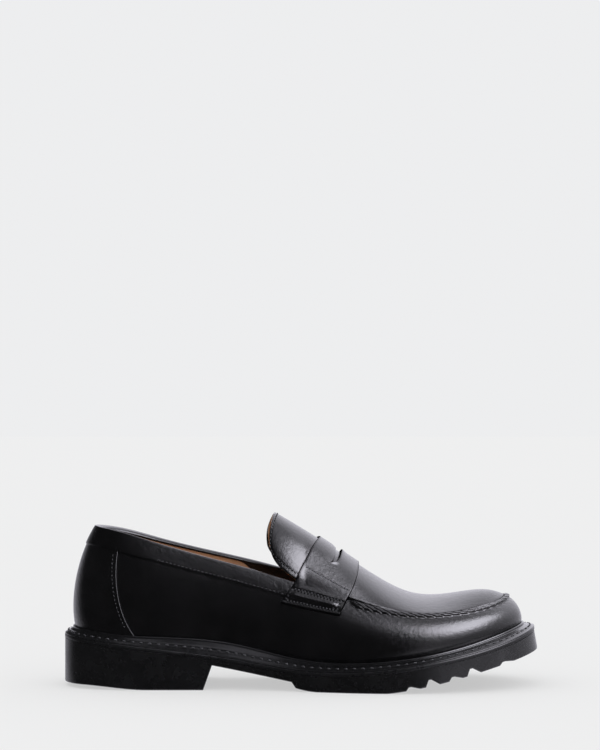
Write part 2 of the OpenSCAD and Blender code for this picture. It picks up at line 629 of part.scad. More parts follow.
module saddle_strap() {
    rows = 3;
    n = len(strap_a_list);
    m = 2 * (rows + 1);
    function f_at(a, j) = j <= rows ? slot_f(a, -1) * j / rows : mix(slot_f(a, 1), 1, (j - rows - 1) / rows);
    upper = [for (a = strap_a_list) for (j = [0:m - 1]) strap_point(f_at(a, j), a, strap_t + foot_at(a))];
    lower = [for (a = strap_a_list) for (j = [0:m - 1]) strap_point(f_at(a, j), a, foot_at(a))];
    k = n * m;
    function open(i) = abs(strap_a_list[i]) < slot_reach - eps;
    band = [for (i = [0:n - 2]) for (j = [0:m - 2]) if (j != rows)
        each strip(i * m + j, (i + 1) * m + j, (i + 1) * m + j + 1, i * m + j + 1)];
    under = [for (f = band) [f[0] + k, f[2] + k, f[1] + k]];
    sides = [for (i = [0:n - 2]) each concat(
        strip(i * m, i * m + k, (i + 1) * m + k, (i + 1) * m),
        strip((i + 1) * m + m - 1, (i + 1) * m + m - 1 + k, i * m + m - 1 + k, i * m + m - 1),
        open(i) || open(i + 1) ? concat(
            strip((i + 1) * m + rows, (i + 1) * m + rows + k, i * m + rows + k, i * m + rows),
            strip(i * m + rows + 1, i * m + rows + 1 + k, (i + 1) * m + rows + 1 + k,
                  (i + 1) * m + rows + 1)) : [])];
    ends = [for (j = [0:m - 2]) if (j != rows) each concat(
        strip(j + 1, j + 1 + k, j + k, j),
        strip((n - 1) * m + j, (n - 1) * m + j + k, (n - 1) * m + j + 1 + k, (n - 1) * m + j + 1))];
    color([0.09, 0.09, 0.095])
        polyhedron(concat(upper, lower), concat(band, under, sides, ends));
}

// ---- Threads ---------------------------------------------------------------------------
thread_d = 0.6;
fine_pitch = 2.6;

// The strap's ends are held by two rows low on the wall, and a third crosses it at the seam
module strap_stitching() {
    color([0.12, 0.12, 0.12])
        for (side = [-1, 1])
            for (a = [strap_end - 0.06, strap_end - 0.23, 0.85])
                stitch_row(even([for (f = span(0.05, 0.95, 24))
                                    strap_point(f, side * a, foot_at(a) + strap_t + 0.2)], fine_pitch),
                           thread_d);
}

stitch_lean = 0.06;

module apron_seam_thread() {
    first = wall_station(31 * kx, 1, -1);
    last = wall_station(31 * kx, 1, 1);
    path = even([for (r = span(first, last, 160)) at(wall(r, 1), r)], apron_pitch);
    color([0.1, 0.1, 0.1])
        for (p = path) {
            r = p[2];
            stitch(wall_off(r, 0.83, 0.35), wall_off(r + stitch_lean, 0.975, rim_h + 0.3), 0.8);
        }
}

collar_stitch_x = [-86, -10];

module collar_stitching() {
    lift = collar_skin + 0.25;
    color([0.12, 0.12, 0.12])
        for (side = [-1, 1]) {
            path = [for (x = span(collar_stitch_x[0], collar_stitch_x[1], 30))
                let (r0 = wall_station(x * kx, 0.8, side), t = depth_t(r0, collar_depth - 1.4))
                wall_off(wall_station(x * kx, t, side), t, lift)];
            stitch_row(even(path, fine_pitch), thread_d);
        }
}

heel_seam_inset = 2.8;

module heel_seam_stitching() {
    color([0.12, 0.12, 0.12])
        for (side = [-1, 1]) {
            path = [for (t = span(0.08, 0.74, 20))
                wall_off(wall_station(kx * (heel_seam_x(t) - heel_seam_inset), t, side), t,
                         heel_cover_proud + 0.2)];
            stitch_row(even(path, fine_pitch), thread_d);
        }
}

module tongue_stitching() {
    inset = 0.09;
    outer = [for (q = span(1.12, 2 - inset, 12)) apron_off(q, -1 + inset, 0.2)];
    rear = [for (w = span(-1 + inset, 1 - inset, 24)) apron_off(2 - inset, w, 0.2)];
    inner = [for (q = span(2 - inset, 1.12, 12)) apron_off(q, 1 - inset, 0.2)];
    color([0.12, 0.12, 0.12]) {
        stitch_row(even(outer, fine_pitch), thread_d);
        stitch_row(even(rear, fine_pitch), thread_d);
        stitch_row(even(inner, fine_pitch), thread_d);
    }
}

outsole();
midsole();
welt();
welt_stitching();
cork_filler();
shank();
insole_board();
heel_pad();
sock_lining();
vamp();
heel_cover();
heel_stiffener();
toe_puff();
apron();
apron_lining();
vamp_lining();
quarter_lining();
collar();
saddle_strap();
strap_stitching();
apron_seam_thread();
collar_stitching();
heel_seam_stitching();
tongue_stitching();
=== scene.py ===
"""Penny loafer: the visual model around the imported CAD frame.

Every visible piece is built here in mesh code, in the frame's own millimetres, and then
scaled to metres. +X points to the toe, -Y to the outer side, +Z up.
"""
import math

import bmesh
import bpy
import numpy as np
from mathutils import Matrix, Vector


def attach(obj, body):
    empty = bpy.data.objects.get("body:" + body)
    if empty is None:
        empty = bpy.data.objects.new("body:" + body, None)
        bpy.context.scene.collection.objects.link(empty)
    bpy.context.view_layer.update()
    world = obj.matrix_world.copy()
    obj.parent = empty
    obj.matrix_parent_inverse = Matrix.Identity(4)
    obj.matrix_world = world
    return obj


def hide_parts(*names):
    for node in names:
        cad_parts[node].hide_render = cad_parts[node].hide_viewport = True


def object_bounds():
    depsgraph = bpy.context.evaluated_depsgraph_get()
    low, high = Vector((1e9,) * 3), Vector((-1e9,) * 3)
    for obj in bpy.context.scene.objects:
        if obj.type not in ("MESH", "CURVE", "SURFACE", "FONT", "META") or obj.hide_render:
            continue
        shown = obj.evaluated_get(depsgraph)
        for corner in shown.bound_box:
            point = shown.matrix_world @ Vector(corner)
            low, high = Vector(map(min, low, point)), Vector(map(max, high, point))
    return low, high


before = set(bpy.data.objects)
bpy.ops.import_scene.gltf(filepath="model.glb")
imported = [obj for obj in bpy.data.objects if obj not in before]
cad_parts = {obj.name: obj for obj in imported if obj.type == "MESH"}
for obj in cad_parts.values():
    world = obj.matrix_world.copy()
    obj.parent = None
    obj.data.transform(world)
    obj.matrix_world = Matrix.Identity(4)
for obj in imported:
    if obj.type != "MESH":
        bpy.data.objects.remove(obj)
cad_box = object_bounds()

MM = 0.001
# The CAD's lengths at its default size, which the scale of this model is taken from
DEFAULT_SIZE = (299.95, 106.22, 108.71)
KX, KY, KZ = ((cad_box[1][i] - cad_box[0][i]) / MM / DEFAULT_SIZE[i] for i in range(3))

# ---- Shape of the last, as in the CAD --------------------------------------------------
# A ring has 24 stations round the shoe, 15 degrees apart: 0 is the heel, 1 to 11 the outer
# side, 12 the toe and 13 to 23 the inner side.


def ring24(outer, inner):
    return np.array(list(outer) + list(inner[11:0:-1]), float)


def both(values):
    return ring24(values, values)


def swell(outer, inner):
    return ring24([-v for v in outer], inner)


FOOT_Y = ring24([0, -16.9, -27.5, -31.8, -31.1, -29.5, -35.5, -45.3, -46.8, -39.8, -28, -13.1, 2],
                [0, 17, 27, 31, 28.7, 22.7, 26, 41, 48.3, 43.5, 33.3, 18.3, 2])
FOOT_Z = both([37.1, 36.5, 34.5, 32.3, 31.9, 28.4, 17.2, 16.5, 20.1, 26.2, 33, 37.4, 39.1])
TOP_Y = ring24([0, -13.8, -22.2, -26.5, -27.9, -29.1, -31.5, -36.9, -38.6, -34, -24.2, -11.2, 2],
               [0, 13.8, 22.2, 26.5, 27.9, 29.1, 31.5, 37.4, 39.8, 36.2, 27.4, 15.2, 2])
TOP_Z = ring24([100.1, 99.5, 97.5, 91.3, 83.5, 75.5, 65.5, 54.5, 46.8, 47.2, 50.1, 54.2, 56.7],
               [100.1, 99.1, 96.7, 90.5, 83.6, 76.8, 67.5, 55.7, 47.3, 47.4, 50.1, 54.2, 56.7])
LOW_SWELL = swell([0, 4, 5, 6, 6.5, 7, 8, 7.5, 6, 5, 3.5, 1.6, 0],
                  [0, 4, 5, 6, 5.5, 4, 4.5, 6, 6, 5, 3.5, 1.6, 0])
HIGH_SIDE = [0, 5, 7, 6.5, 5.6, 5.8, 7, 8.8, 9.2, 8.3, 6.5, 3.8, 0]
HIGH_SWELL = swell(HIGH_SIDE, HIGH_SIDE)
LOW_RISE = both([19, 18.5, 17, 16, 15, 12.5, 11.5, 11, 9, 8, 7, 5.8, 5])
HIGH_DROP = both([17.9, 17.7, 17, 16.5, 16, 15, 13, 9.5, 5, 3.5, 3, 2.7, 2.5])
BACK_X = [-142.9, -146.6, -141.1, -129.9]
TOE_X = [139.8, 141.4, 137.4, 129.7]
SOLE_Y = ring24([0, -20.8, -32.3, -35.6, -35.2, -35, -42.8, -52.8, -54.3, -46.8, -33.7, -16.8, 1.5],
                [0, 20.8, 32.3, 35.3, 33.8, 29.3, 33.6, 49.3, 54.6, 49.8, 38.9, 22.1, 1.5])
EDGE_Z = both([33.3, 33, 31.4, 28.4, 24.9, 20.3, 12.3, 13.5, 18, 24.4, 30.3, 35.7, 38.1])
SOLE_X = [-149.85, 148.05]
TOE_FLARE = 1.8
FLARE_X = (110, 145)
RIDGE_X0, RIDGE_STEP = -24.8, 12
RIDGE_Z = np.array([120, 113.2, 106.5, 99.4, 91.8, 84.1, 76.2, 68.4, 61.4, 56.9, 55.9, 57.3,
                    59.3, 60.2, 56, 48], float)

LEATHER = 1.4
LINING = 0.9
LINING_D = 2.2
COVER_PROUD = 0.7
RIM_H = 1.5
COLLAR_DEPTH = 11
COLLAR_INNER = 1.4
COLLAR_SKIN = 0.6
STRAP_T = 1.7
SLOT_REACH, SLOT_W, SLOT_BEND, SLOT_CURL = 0.58, 3.0, -2.1, 3.7
WELT_EDGE = 0.7
MIDSOLE_T = 2.5
GAP = 0.05
BEAD = 1.9
LUG = 4.2
WAIST_STEP = 5.9
APRON_PITCH = 5.6
WELT_PITCH = 5.4
FINE_PITCH, FINE_D = 2.6, 0.75


# ---- Mathematics -----------------------------------------------------------------------
def mix(a, b, t):
    return a + (b - a) * t


def smooth(v):
    t = np.clip(v, 0, 1)
    return t * t * (3 - 2 * t)


def cubic(a, b, c, d, f):
    return (a * (1 - f) ** 3 + b * (3 * f ** 3 - 6 * f * f + 4)
            + c * (-3 * f ** 3 + 3 * f * f + 3 * f + 1) + d * f ** 3) / 6


def bezier(p, t):
    s = 1 - t
    return p[0] * s ** 3 + 3 * p[1] * t * s * s + 3 * p[2] * t * t * s + p[3] * t ** 3


def unit(v):
    return v / np.maximum(np.linalg.norm(v, axis=-1, keepdims=True), 1e-9)


def stack(x, y, z):
    return np.stack(np.broadcast_arrays(x, y, z), axis=-1).astype(float)


def ring(values, r):
    r = np.asarray(r, float)
    k = np.floor(r).astype(int)
    return cubic(values[(k - 1) % 24], values[k % 24], values[(k + 1) % 24], values[(k + 2) % 24], r - k)


def along(r):
    return (1 - np.cos(np.radians(15 * np.asarray(r, float)))) / 2


def station(share, side):
    u = np.degrees(np.arccos(np.clip(1 - 2 * share, -1, 1))) / 15
    return np.where(np.asarray(side) < 0, u, 24 - u)


def ridge(x):
    v = (np.asarray(x, float) - RIDGE_X0) / RIDGE_STEP + 1
    k = np.clip(np.floor(v).astype(int), 1, len(RIDGE_Z) - 3)
    return cubic(RIDGE_Z[k - 1], RIDGE_Z[k], RIDGE_Z[k + 1], RIDGE_Z[k + 2], v - k)


def wall(r, t):
    """Surface of the upper's wall: station r, share t from the foot to the top."""
    y0, y3, z0, z3 = ring(FOOT_Y, r), ring(TOP_Y, r), ring(FOOT_Z, r), ring(TOP_Z, r)
    y = bezier([y0, y0 + ring(LOW_SWELL, r), y3 + ring(HIGH_SWELL, r), y3], t)
    z = bezier([z0, z0 + ring(LOW_RISE, r), z3 - ring(HIGH_DROP, r), z3], t)
    x = mix(bezier(BACK_X, t), bezier(TOE_X, t), along(r))
    return stack(KX * x, KY * y, KZ * z)


EPS = 0.01


def wall_normal(r, t):
    return unit(np.cross(wall(r + EPS, t) - wall(r - EPS, t), wall(r, t + EPS) - wall(r, t - EPS)))


def wall_off(r, t, d):
    return wall(r, t) + np.asarray(d)[..., None] * wall_normal(r, t)


def wall_station(x, t, side):
    """Station at height share t where the wall reaches x on one side."""
    a, b = bezier(BACK_X, t), bezier(TOE_X, t)
    return station((x / KX - a) / (b - a), side)


def outer_station(x, t=1.0):
    """The same for one point of the outer side, x before scaling."""
    return float(wall_station(KX * x, t, -1))


def top_seam(x, count):
    """Stations along the wall's top from x on the outer side round the toe, with arc lengths."""
    r = np.linspace(outer_station(x), 24 - outer_station(x), count)
    return r, arc_length(wall(r, np.ones_like(r)))


def depth_t(r, depth):
    """Share t at a depth in mm below the top."""
    return 1 - depth / (3 * np.hypot(ring(HIGH_SWELL, r), ring(HIGH_DROP, r)) + 4)


def outline(x_ends, y_ring, r):
    return np.stack([KX * mix(x_ends[0], x_ends[1], along(r)), KY * ring(y_ring, r)], -1)


def moved_out(x_ends, y_ring, r, d):
    r = np.asarray(r, float)
    t = outline(x_ends, y_ring, r + EPS) - outline(x_ends, y_ring, r - EPS)
    n = unit(np.stack([t[..., 1], -t[..., 0]], -1))
    return outline(x_ends, y_ring, r) + np.asarray(d)[..., None] * n


def foot_out(r, d):
    return moved_out([BACK_X[0], TOE_X[0]], FOOT_Y, r, d)


def sole_out(r, d):
    return moved_out(SOLE_X, SOLE_Y, r, d)


def foot_z(r):
    return KZ * ring(FOOT_Z, r)


def edge_z(r):
    return KZ * ring(EDGE_Z, r)


def at(p, z):
    return np.concatenate([p, np.broadcast_to(z, p.shape[:-1])[..., None]], -1)


THROAT_X, TONGUE_X, TONGUE_BACK, TONGUE_BOW = 2, -16.8, 3, 1.6


def front_x(q):
    """Place of the apron's cross section q, before scaling."""
    return mix(TOE_X[3], THROAT_X, 1 - np.cos(np.radians(90 * np.clip(q, 0, 1))))


def apron_edge(q, side):
    """Edge of the apron and tongue: q is 0 at the toe, 1 at the throat, 2 at the tongue's tip."""
    front = wall(wall_station(front_x(q) * KX, 1.0, side), 1.0)
    back = np.where(side > 0, TONGUE_BACK, 0.0)
    a = wall(wall_station(np.full_like(q, THROAT_X * KX), 1.0, side), 1.0)
    f = np.clip(q - 1, 0, 1.05)
    scale = np.array([KX, KY, KZ])
    tongue = bezier([a, stack(-6 - back * 0.5, side * 32.5, 71.5 + back * 0.3) * scale,
                     stack(-19.6 - back, side * 31, 77 + back * 0.3) * scale,
                     stack(-19.2 - back, side * 23, 88) * scale], f[..., None])
    return np.where((q >= 1)[..., None], tongue, front) / scale


CREST_POWER, CREST_WIDTH = 0.775, 0.25


def crest(v):
    """Section of the apron's front: a low crest with nearly straight sides."""
    low, high = CREST_WIDTH ** (2 * CREST_POWER), (1 + CREST_WIDTH ** 2) ** CREST_POWER
    return ((v * v + CREST_WIDTH ** 2) ** CREST_POWER - low) / (high - low)


def apron_at(q, w):
    q, w = np.broadcast_arrays(np.asarray(q, float), np.asarray(w, float))
    side, a = np.where(w < 0, -1.0, 1.0), np.abs(w)
    e = apron_edge(q, side)
    x = np.where(q >= 1, mix(THROAT_X, TONGUE_X, q - 1), front_x(q))
    turn = np.radians(mix(46, 66, smooth(q * 1.1)))
    top = np.maximum(ridge(x), e[..., 2] + 0.01)
    mid = 2 * smooth(1 - q * 1.4)
    v = np.sin(a * turn) / np.sin(turn)
    arc = (1 - np.cos(a * turn)) / (1 - np.cos(turn))
    fall = mix(crest(v), arc, smooth((q - 0.5) / 0.45))
    bow = TONGUE_BOW * smooth((q - 1.3) / 0.6) * np.sin(np.pi * a ** 2.2)
    return stack(KX * (mix(x, e[..., 0], a ** 1.3) - bow), KY * mix(mid, e[..., 1], v),
                 KZ * mix(top, e[..., 2], fall))


def apron_normal(q, w):
    dq = apron_at(q - EPS, w) - apron_at(q + EPS, w)
    dw = apron_at(q, w + EPS) - apron_at(q, w - EPS)
    return unit(np.cross(dq, dw))


# ---- Mesh helpers ----------------------------------------------------------------------
def grid_faces(m, n, wrap=False):
    i = np.arange(m * n).reshape(m, n)
    if wrap:
        i = np.concatenate([i, i[:, :1]], 1)
    return np.stack([i[:-1, :-1], i[:-1, 1:], i[1:, 1:], i[1:, :-1]], -1).reshape(-1, 4)


def shell(outer, inner):
    """Closed solid between two grids of points, as vertices and faces."""
    m, n = outer.shape[:2]
    k = m * n
    over = grid_faces(m, n)
    i = np.arange(k).reshape(m, n)
    rim = np.concatenate([i[0, :-1], i[:-1, -1], i[-1, :0:-1], i[:0:-1, 0]])
    nxt = np.roll(rim, -1)
    side = np.stack([nxt, rim, rim + k, nxt + k], -1)
    return np.concatenate([outer.reshape(-1, 3), inner.reshape(-1, 3)]), \
        np.concatenate([over, over[:, ::-1] + k, side])


def loft(sections, closed=False):
    """Solid through closed sections; open ends are capped with strips across the section."""
    m, n = sections.shape[:2]
    ring_rows = np.concatenate([sections, sections[:1]]) if closed else sections
    faces = grid_faces(len(ring_rows), n, wrap=True)
    if closed:
        faces = faces % (m * n)
        return sections.reshape(-1, 3), faces
    half = np.arange(n // 2 - 1)
    cap = np.stack([half, half + 1, n - 2 - half, n - 1 - half], -1)
    return sections.reshape(-1, 3), np.concatenate([faces, cap[:, ::-1], cap + (m - 1) * n])


def joined(parts):
    verts, faces, k = [], [], 0
    for v, f in parts:
        verts.append(v)
        faces.append(f + k)
        k += len(v)
    return np.concatenate(verts), np.concatenate(faces)


def piece(name, solid, material, node, sharp=None, weld=False, painted_edge_shade=None):
    """Makes the Blender object and ties it to the frame in place of its CAD node.

    The last argument is 1 on the vertices of a cut edge made matt black, a painted shade for the shadow
    line along that edge, and 0 elsewhere."""
    verts, faces = solid
    mesh = bpy.data.meshes.new(name)
    mesh.from_pydata((verts * MM).tolist(), [], faces.tolist())
    mesh.validate()
    mesh.polygons.foreach_set("use_smooth", np.ones(len(mesh.polygons), bool))
    # The edge mask is stored as a mesh attribute, for the material's painted shade
    if painted_edge_shade is not None:
        mesh.attributes.new("painted_edge_shade", "FLOAT", "POINT").data.foreach_set("value", painted_edge_shade.astype(np.float32))
    obj = bpy.data.objects.new(name, mesh)
    bpy.context.scene.collection.objects.link(obj)
    if weld or sharp:
        bm = bmesh.new()
        bm.from_mesh(mesh)
        bmesh.ops.remove_doubles(bm, verts=bm.verts, dist=1e-6)
        bmesh.ops.recalc_face_normals(bm, faces=bm.faces)
        if sharp:
            limit = math.radians(sharp)
            for e in bm.edges:
                if len(e.link_faces) == 2 and e.calc_face_angle(0) > limit:
                    e.smooth = False
        bm.to_mesh(mesh)
        bm.free()
    mesh.materials.append(material)
    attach(obj, "root")
    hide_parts(node)
    return obj


def eased(n, length, rho):
    """Shares from 0 to 1 in n steps, with extra ones for a rounding of rho mm at both ends."""
    near = np.array([0, 0.06, 0.22, 0.5, 0.8]) * rho / length
    return np.concatenate([near, np.linspace(near[-1], 1 - near[-1], n)[1:-1], 1 - near[::-1]])


def rounding(dist, rho):
    """Drop of a rounded edge at a distance from it."""
    s = np.clip(rho - dist, 0, rho)
    return rho - np.sqrt(np.maximum(rho * rho - s * s, 0))


def arc_length(p):
    return np.concatenate([[0], np.cumsum(np.linalg.norm(np.diff(p, axis=0), axis=1))])


def even(p, pitch):
    """Points spaced evenly along a fine path."""
    s = arc_length(p)
    n = max(int(round(s[-1] / pitch)), 1)
    u = np.linspace(0, s[-1], n + 1)
    return np.stack([np.interp(u, s, p[:, i]) for i in range(p.shape[1])], -1)


THREAD_SIDES = 8
THREAD_STEPS = 9


def threads(a, b, n, d, arch=0.35, sink=0.5):
    """Stitches from points a to b on a surface with normals n: arched rods of thread."""
    u = np.linspace(0, 1, THREAD_STEPS)
    w = 2 * u - 1
    lift = (arch * (1 - w ** 2) - sink * w ** 6) * d
    axis = unit(b - a)
    side = unit(np.cross(n, axis))
    top = np.cross(axis, side)
    radius = d / 2 * np.sqrt(np.clip(1 - w ** 8, 0.04, 1))
    centre = a[:, None] + (b - a)[:, None] * u[None, :, None] + lift[None, :, None] * top[:, None]
    ang = np.linspace(0, 2 * np.pi, THREAD_SIDES, endpoint=False)
    ringed = (np.cos(ang)[None, None, :, None] * side[:, None, None]
              + np.sin(ang)[None, None, :, None] * top[:, None, None])
    pts = centre[:, :, None] + radius[None, :, None, None] * ringed
    count = len(a)
    one = grid_faces(THREAD_STEPS, THREAD_SIDES, wrap=True)
    last = (THREAD_STEPS - 1) * THREAD_SIDES
    caps = np.array([[0, 1, 2, 3], [0, 3, 4, 7], [4, 5, 6, 7]])
    one = np.concatenate([one, caps[:, ::-1], caps + last])
    step = THREAD_STEPS * THREAD_SIDES
    faces = (one[None] + np.arange(count)[:, None, None] * step).reshape(-1, 4)
    return pts.reshape(-1, 3), faces


def stitch_row(path, pitch, d, fill=0.62, **shape):
    """Stitches along a path given as rows of point and normal."""
    p = even(path, pitch)
    gap = (1 - fill) / 2
    a, b = mix(p[:-1], p[1:], gap), mix(p[:-1], p[1:], 1 - gap)
    return threads(a[:, :3], b[:, :3], unit(a[:, 3:] + b[:, 3:]), d, **shape)


def sewn_row(p, n, lift, pitch, d, **shape):
    """Stitches along points p of a surface with normals n, lift above it."""
    return stitch_row(np.concatenate([p + lift * n, n], -1), pitch, d, **shape)


def wall_row(r, t, lift):
    """Fine stitches along the wall."""
    return sewn_row(wall(r, t), wall_normal(r, t), lift, FINE_PITCH, FINE_D)


# ---- Materials -------------------------------------------------------------------------
class Nodes:
    """A node tree, with the nodes that the materials and the studio share."""

    def __init__(self, owner):
        owner.use_nodes = True
        self.tree = owner.node_tree

    def node(self, kind, **props):
        n = self.tree.nodes.new(kind)
        for key, value in props.items():
            if key in n.inputs:
                n.inputs[key].default_value = value
            else:
                setattr(n, key, value)
        return n

    def link(self, a, b):
        self.tree.links.new(a, b)

    def feed(self, socket, value):
        """Sets a socket to a number, or links another node's output to it."""
        if isinstance(value, (int, float)):
            socket.default_value = value
        else:
            self.link(value, socket)

    def ranged(self, value, lo, hi, to_lo=0, to_hi=1, curve="LINEAR"):
        n = self.node("ShaderNodeMapRange", interpolation_type=curve)
        for key, v in (("Value", value), ("From Min", lo), ("From Max", hi), ("To Min", to_lo),
                       ("To Max", to_hi)):
            self.feed(n.inputs[key], v)
        return n.outputs["Result"]


class Look(Nodes):
    """A procedural material: a Principled shader with textures in object space."""

    def __init__(self, name, colour, rough, **inputs):
        self.mat = bpy.data.materials.new(name)
        super().__init__(self.mat)
        self.bsdf = self.tree.nodes["Principled BSDF"]
        self.coord = self.node("ShaderNodeTexCoord")
        self.bump = None
        self.set("Base Color", (*colour, 1))
        self.set("Roughness", rough)
        for key, value in inputs.items():
            self.set(key.replace("_", " "), value)

    def set(self, name, value):
        self.bsdf.inputs[name].default_value = value

    def noise(self, scale, detail=4, rough=0.6, stretch=None):
        """Noise with features about 1 / scale metres across."""
        n = self.node("ShaderNodeTexNoise", Scale=scale, Detail=detail, Roughness=rough)
        self.link(self.mapped(stretch), n.inputs["Vector"])
        return n.outputs["Fac"]

    def cells(self, scale):
        n = self.node("ShaderNodeTexVoronoi", Scale=scale)
        self.link(self.coord.outputs["Object"], n.inputs["Vector"])
        return n.outputs["Distance"]

    def mapped(self, stretch):
        if not stretch:
            return self.coord.outputs["Object"]
        m = self.node("ShaderNodeMapping", Scale=stretch)
        self.link(self.coord.outputs["Object"], m.inputs["Vector"])
        return m.outputs["Vector"]

    def ramp(self, value, stops):
        n = self.node("ShaderNodeValToRGB")
        while len(n.color_ramp.elements) < len(stops):
            n.color_ramp.elements.new(0.5)
        for e, (place, colour) in zip(n.color_ramp.elements, stops):
            e.position, e.color = place, (*colour, 1)
        self.link(value, n.inputs["Fac"])
        return n.outputs["Color"]

    def colour(self, value, stops):
        self.link(self.ramp(value, stops), self.bsdf.inputs["Base Color"])

    def vary(self, name, value, lo, hi, to_lo, to_hi):
        self.link(self.ranged(value, lo, hi, to_lo, to_hi), self.bsdf.inputs[name])

    def dull_where(self, attribute, **inputs):
        """Takes inputs down to zero where a mesh attribute is 1."""
        mask = self.node("ShaderNodeAttribute", attribute_name=attribute).outputs["Fac"]
        for key, value in inputs.items():
            self.link(self.ranged(mask, 0, 1, value, 0), self.bsdf.inputs[key.replace("_", " ")])

    def raise_by(self, height, depth, strength=1.0, coat=True):
        """Adds a bump of a given depth in mm."""
        n = self.node("ShaderNodeBump", Strength=strength, Distance=depth * MM)
        self.link(height, n.inputs["Height"])
        if self.bump is not None:
            self.link(self.bump, n.inputs["Normal"])
        self.bump = n.outputs["Normal"]
        self.link(self.bump, self.bsdf.inputs["Normal"])
        if coat:
            self.link(self.bump, self.bsdf.inputs["Coat Normal"])

    def glow_for_camera(self, level, share):
        """Replaces a share of the surface, as the camera sees it, by an even glow."""
        path = self.node("ShaderNodeLightPath")
        amount = self.ranged(path.outputs["Is Camera Ray"], 0, 1, 0, share)
        glow = self.node("ShaderNodeEmission", Strength=level)
        mixed = self.node("ShaderNodeMixShader")
        self.link(amount, mixed.inputs[0])
        self.link(self.bsdf.outputs[0], mixed.inputs[1])
        self.link(glow.outputs[0], mixed.inputs[2])
        self.link(mixed.outputs[0], self.tree.nodes["Material Output"].inputs["Surface"])


def polished_leather(name, grain=1.0, rough=0.17, shine=0.37):
    look = Look(name, (0.0045, 0.0045, 0.005), rough, Coat_Roughness=0.1)
    look.colour(look.noise(60, detail=3), [(0.3, (0.0028, 0.0028, 0.003)), (0.7, (0.0052, 0.005, 0.0055))])
    look.vary("Roughness", look.noise(260, detail=5), 0.3, 0.7, rough - 0.03, rough + 0.06)
    # Where the edge mask is 1, shine and coat go: a painted shade, matt black, for the shadow line along
    # the strap's cut edges
    look.dull_where("painted_edge_shade", Specular_IOR_Level=shine, Coat_Weight=0.8 * shine)
    look.raise_by(look.noise(70, detail=2), 0.15 * grain, 0.5)
    look.raise_by(look.noise(430, detail=5, rough=0.7), 0.2 * grain, 0.9)
    look.raise_by(look.noise(2200, detail=2), 0.03 * grain, 0.5)
    return look.mat


def lining_leather():
    look = Look("tan_lining", (0.5, 0.25, 0.13), 0.6, Sheen_Weight=0.08, Sheen_Roughness=0.5)
    look.colour(look.noise(45, detail=6), [(0.3, (0.5, 0.29, 0.165)), (0.72, (0.68, 0.43, 0.265))])
    look.vary("Roughness", look.noise(400), 0.3, 0.7, 0.5, 0.7)
    look.raise_by(look.cells(1100), 0.05, 0.6)
    look.raise_by(look.noise(1800, detail=3), 0.03, 0.5)
    return look.mat


def rubber():
    look = Look("sole_rubber", (0.006, 0.006, 0.0063), 0.26, Specular_IOR_Level=0.34)
    look.colour(look.noise(30, detail=5), [(0.3, (0.004, 0.004, 0.0043)), (0.75, (0.009, 0.009, 0.0097))])
    look.vary("Roughness", look.noise(120, detail=5), 0.3, 0.7, 0.22, 0.32)
    look.raise_by(look.noise(1600, detail=4), 0.06, 0.7, coat=False)
    look.raise_by(look.noise(240, detail=2), 0.03, 0.2, coat=False)
    return look.mat


def midsole_rubber():
    look = Look("midsole_rubber", (0.008, 0.008, 0.0085), 0.36, Specular_IOR_Level=0.3)
    look.colour(look.noise(40, detail=4), [(0.3, (0.006, 0.006, 0.0065)), (0.7, (0.01, 0.01, 0.011))])
    look.vary("Roughness", look.noise(150), 0.3, 0.7, 0.24, 0.34)
    look.raise_by(look.noise(1400, detail=4), 0.04, 0.6, coat=False)
    return look.mat


def welt_rubber():
    look = Look("welt_rubber", (0.006, 0.006, 0.0065), 0.26, Coat_Weight=0.3, Coat_Roughness=0.13,
                Specular_IOR_Level=0.34)
    look.colour(look.noise(50, detail=4), [(0.3, (0.005, 0.005, 0.0055)), (0.7, (0.01, 0.01, 0.011))])
    look.vary("Roughness", look.noise(200, detail=5), 0.3, 0.7, 0.15, 0.23)
    look.raise_by(look.noise(1500, detail=3), 0.03, 0.4)
    return look.mat


def waxed_thread(name, dark, light):
    look = Look(name, light, 0.42, Coat_Weight=0.08, Coat_Roughness=0.3, Specular_IOR_Level=0.35)
    look.colour(look.noise(900, detail=2), [(0.3, dark), (0.7, light)])
    wave = look.node("ShaderNodeTexWave", Scale=1400, Distortion=1.5)
    look.link(look.coord.outputs["Object"], wave.inputs["Vector"])
    look.raise_by(wave.outputs["Fac"], 0.06, 0.7)
    return look.mat


def speckled(name, scale, stops, rough, depth, stretch=None):
    """A matt material with coarse and fine speckle, for board, cork, felt and foam."""
    look = Look(name, stops[0][1], rough, Specular_IOR_Level=0.3)
    look.colour(look.noise(scale, detail=8, rough=0.75, stretch=stretch), stops)
    look.raise_by(look.cells(scale * 2.2), depth, 0.8, coat=False)
    look.raise_by(look.noise(scale * 5, detail=3), depth * 0.4, 0.6, coat=False)
    return look.mat


def shank_steel():
    look = Look("shank_steel", (0.5, 0.51, 0.53), 0.3, Metallic=1.0)
    brushed = look.noise(900, detail=3, stretch=(0.04, 1, 1))
    look.vary("Roughness", brushed, 0.3, 0.7, 0.22, 0.42)
    look.colour(brushed, [(0.3, (0.42, 0.43, 0.45)), (0.7, (0.6, 0.61, 0.63))])
    look.raise_by(brushed, 0.01, 0.4)
    return look.mat


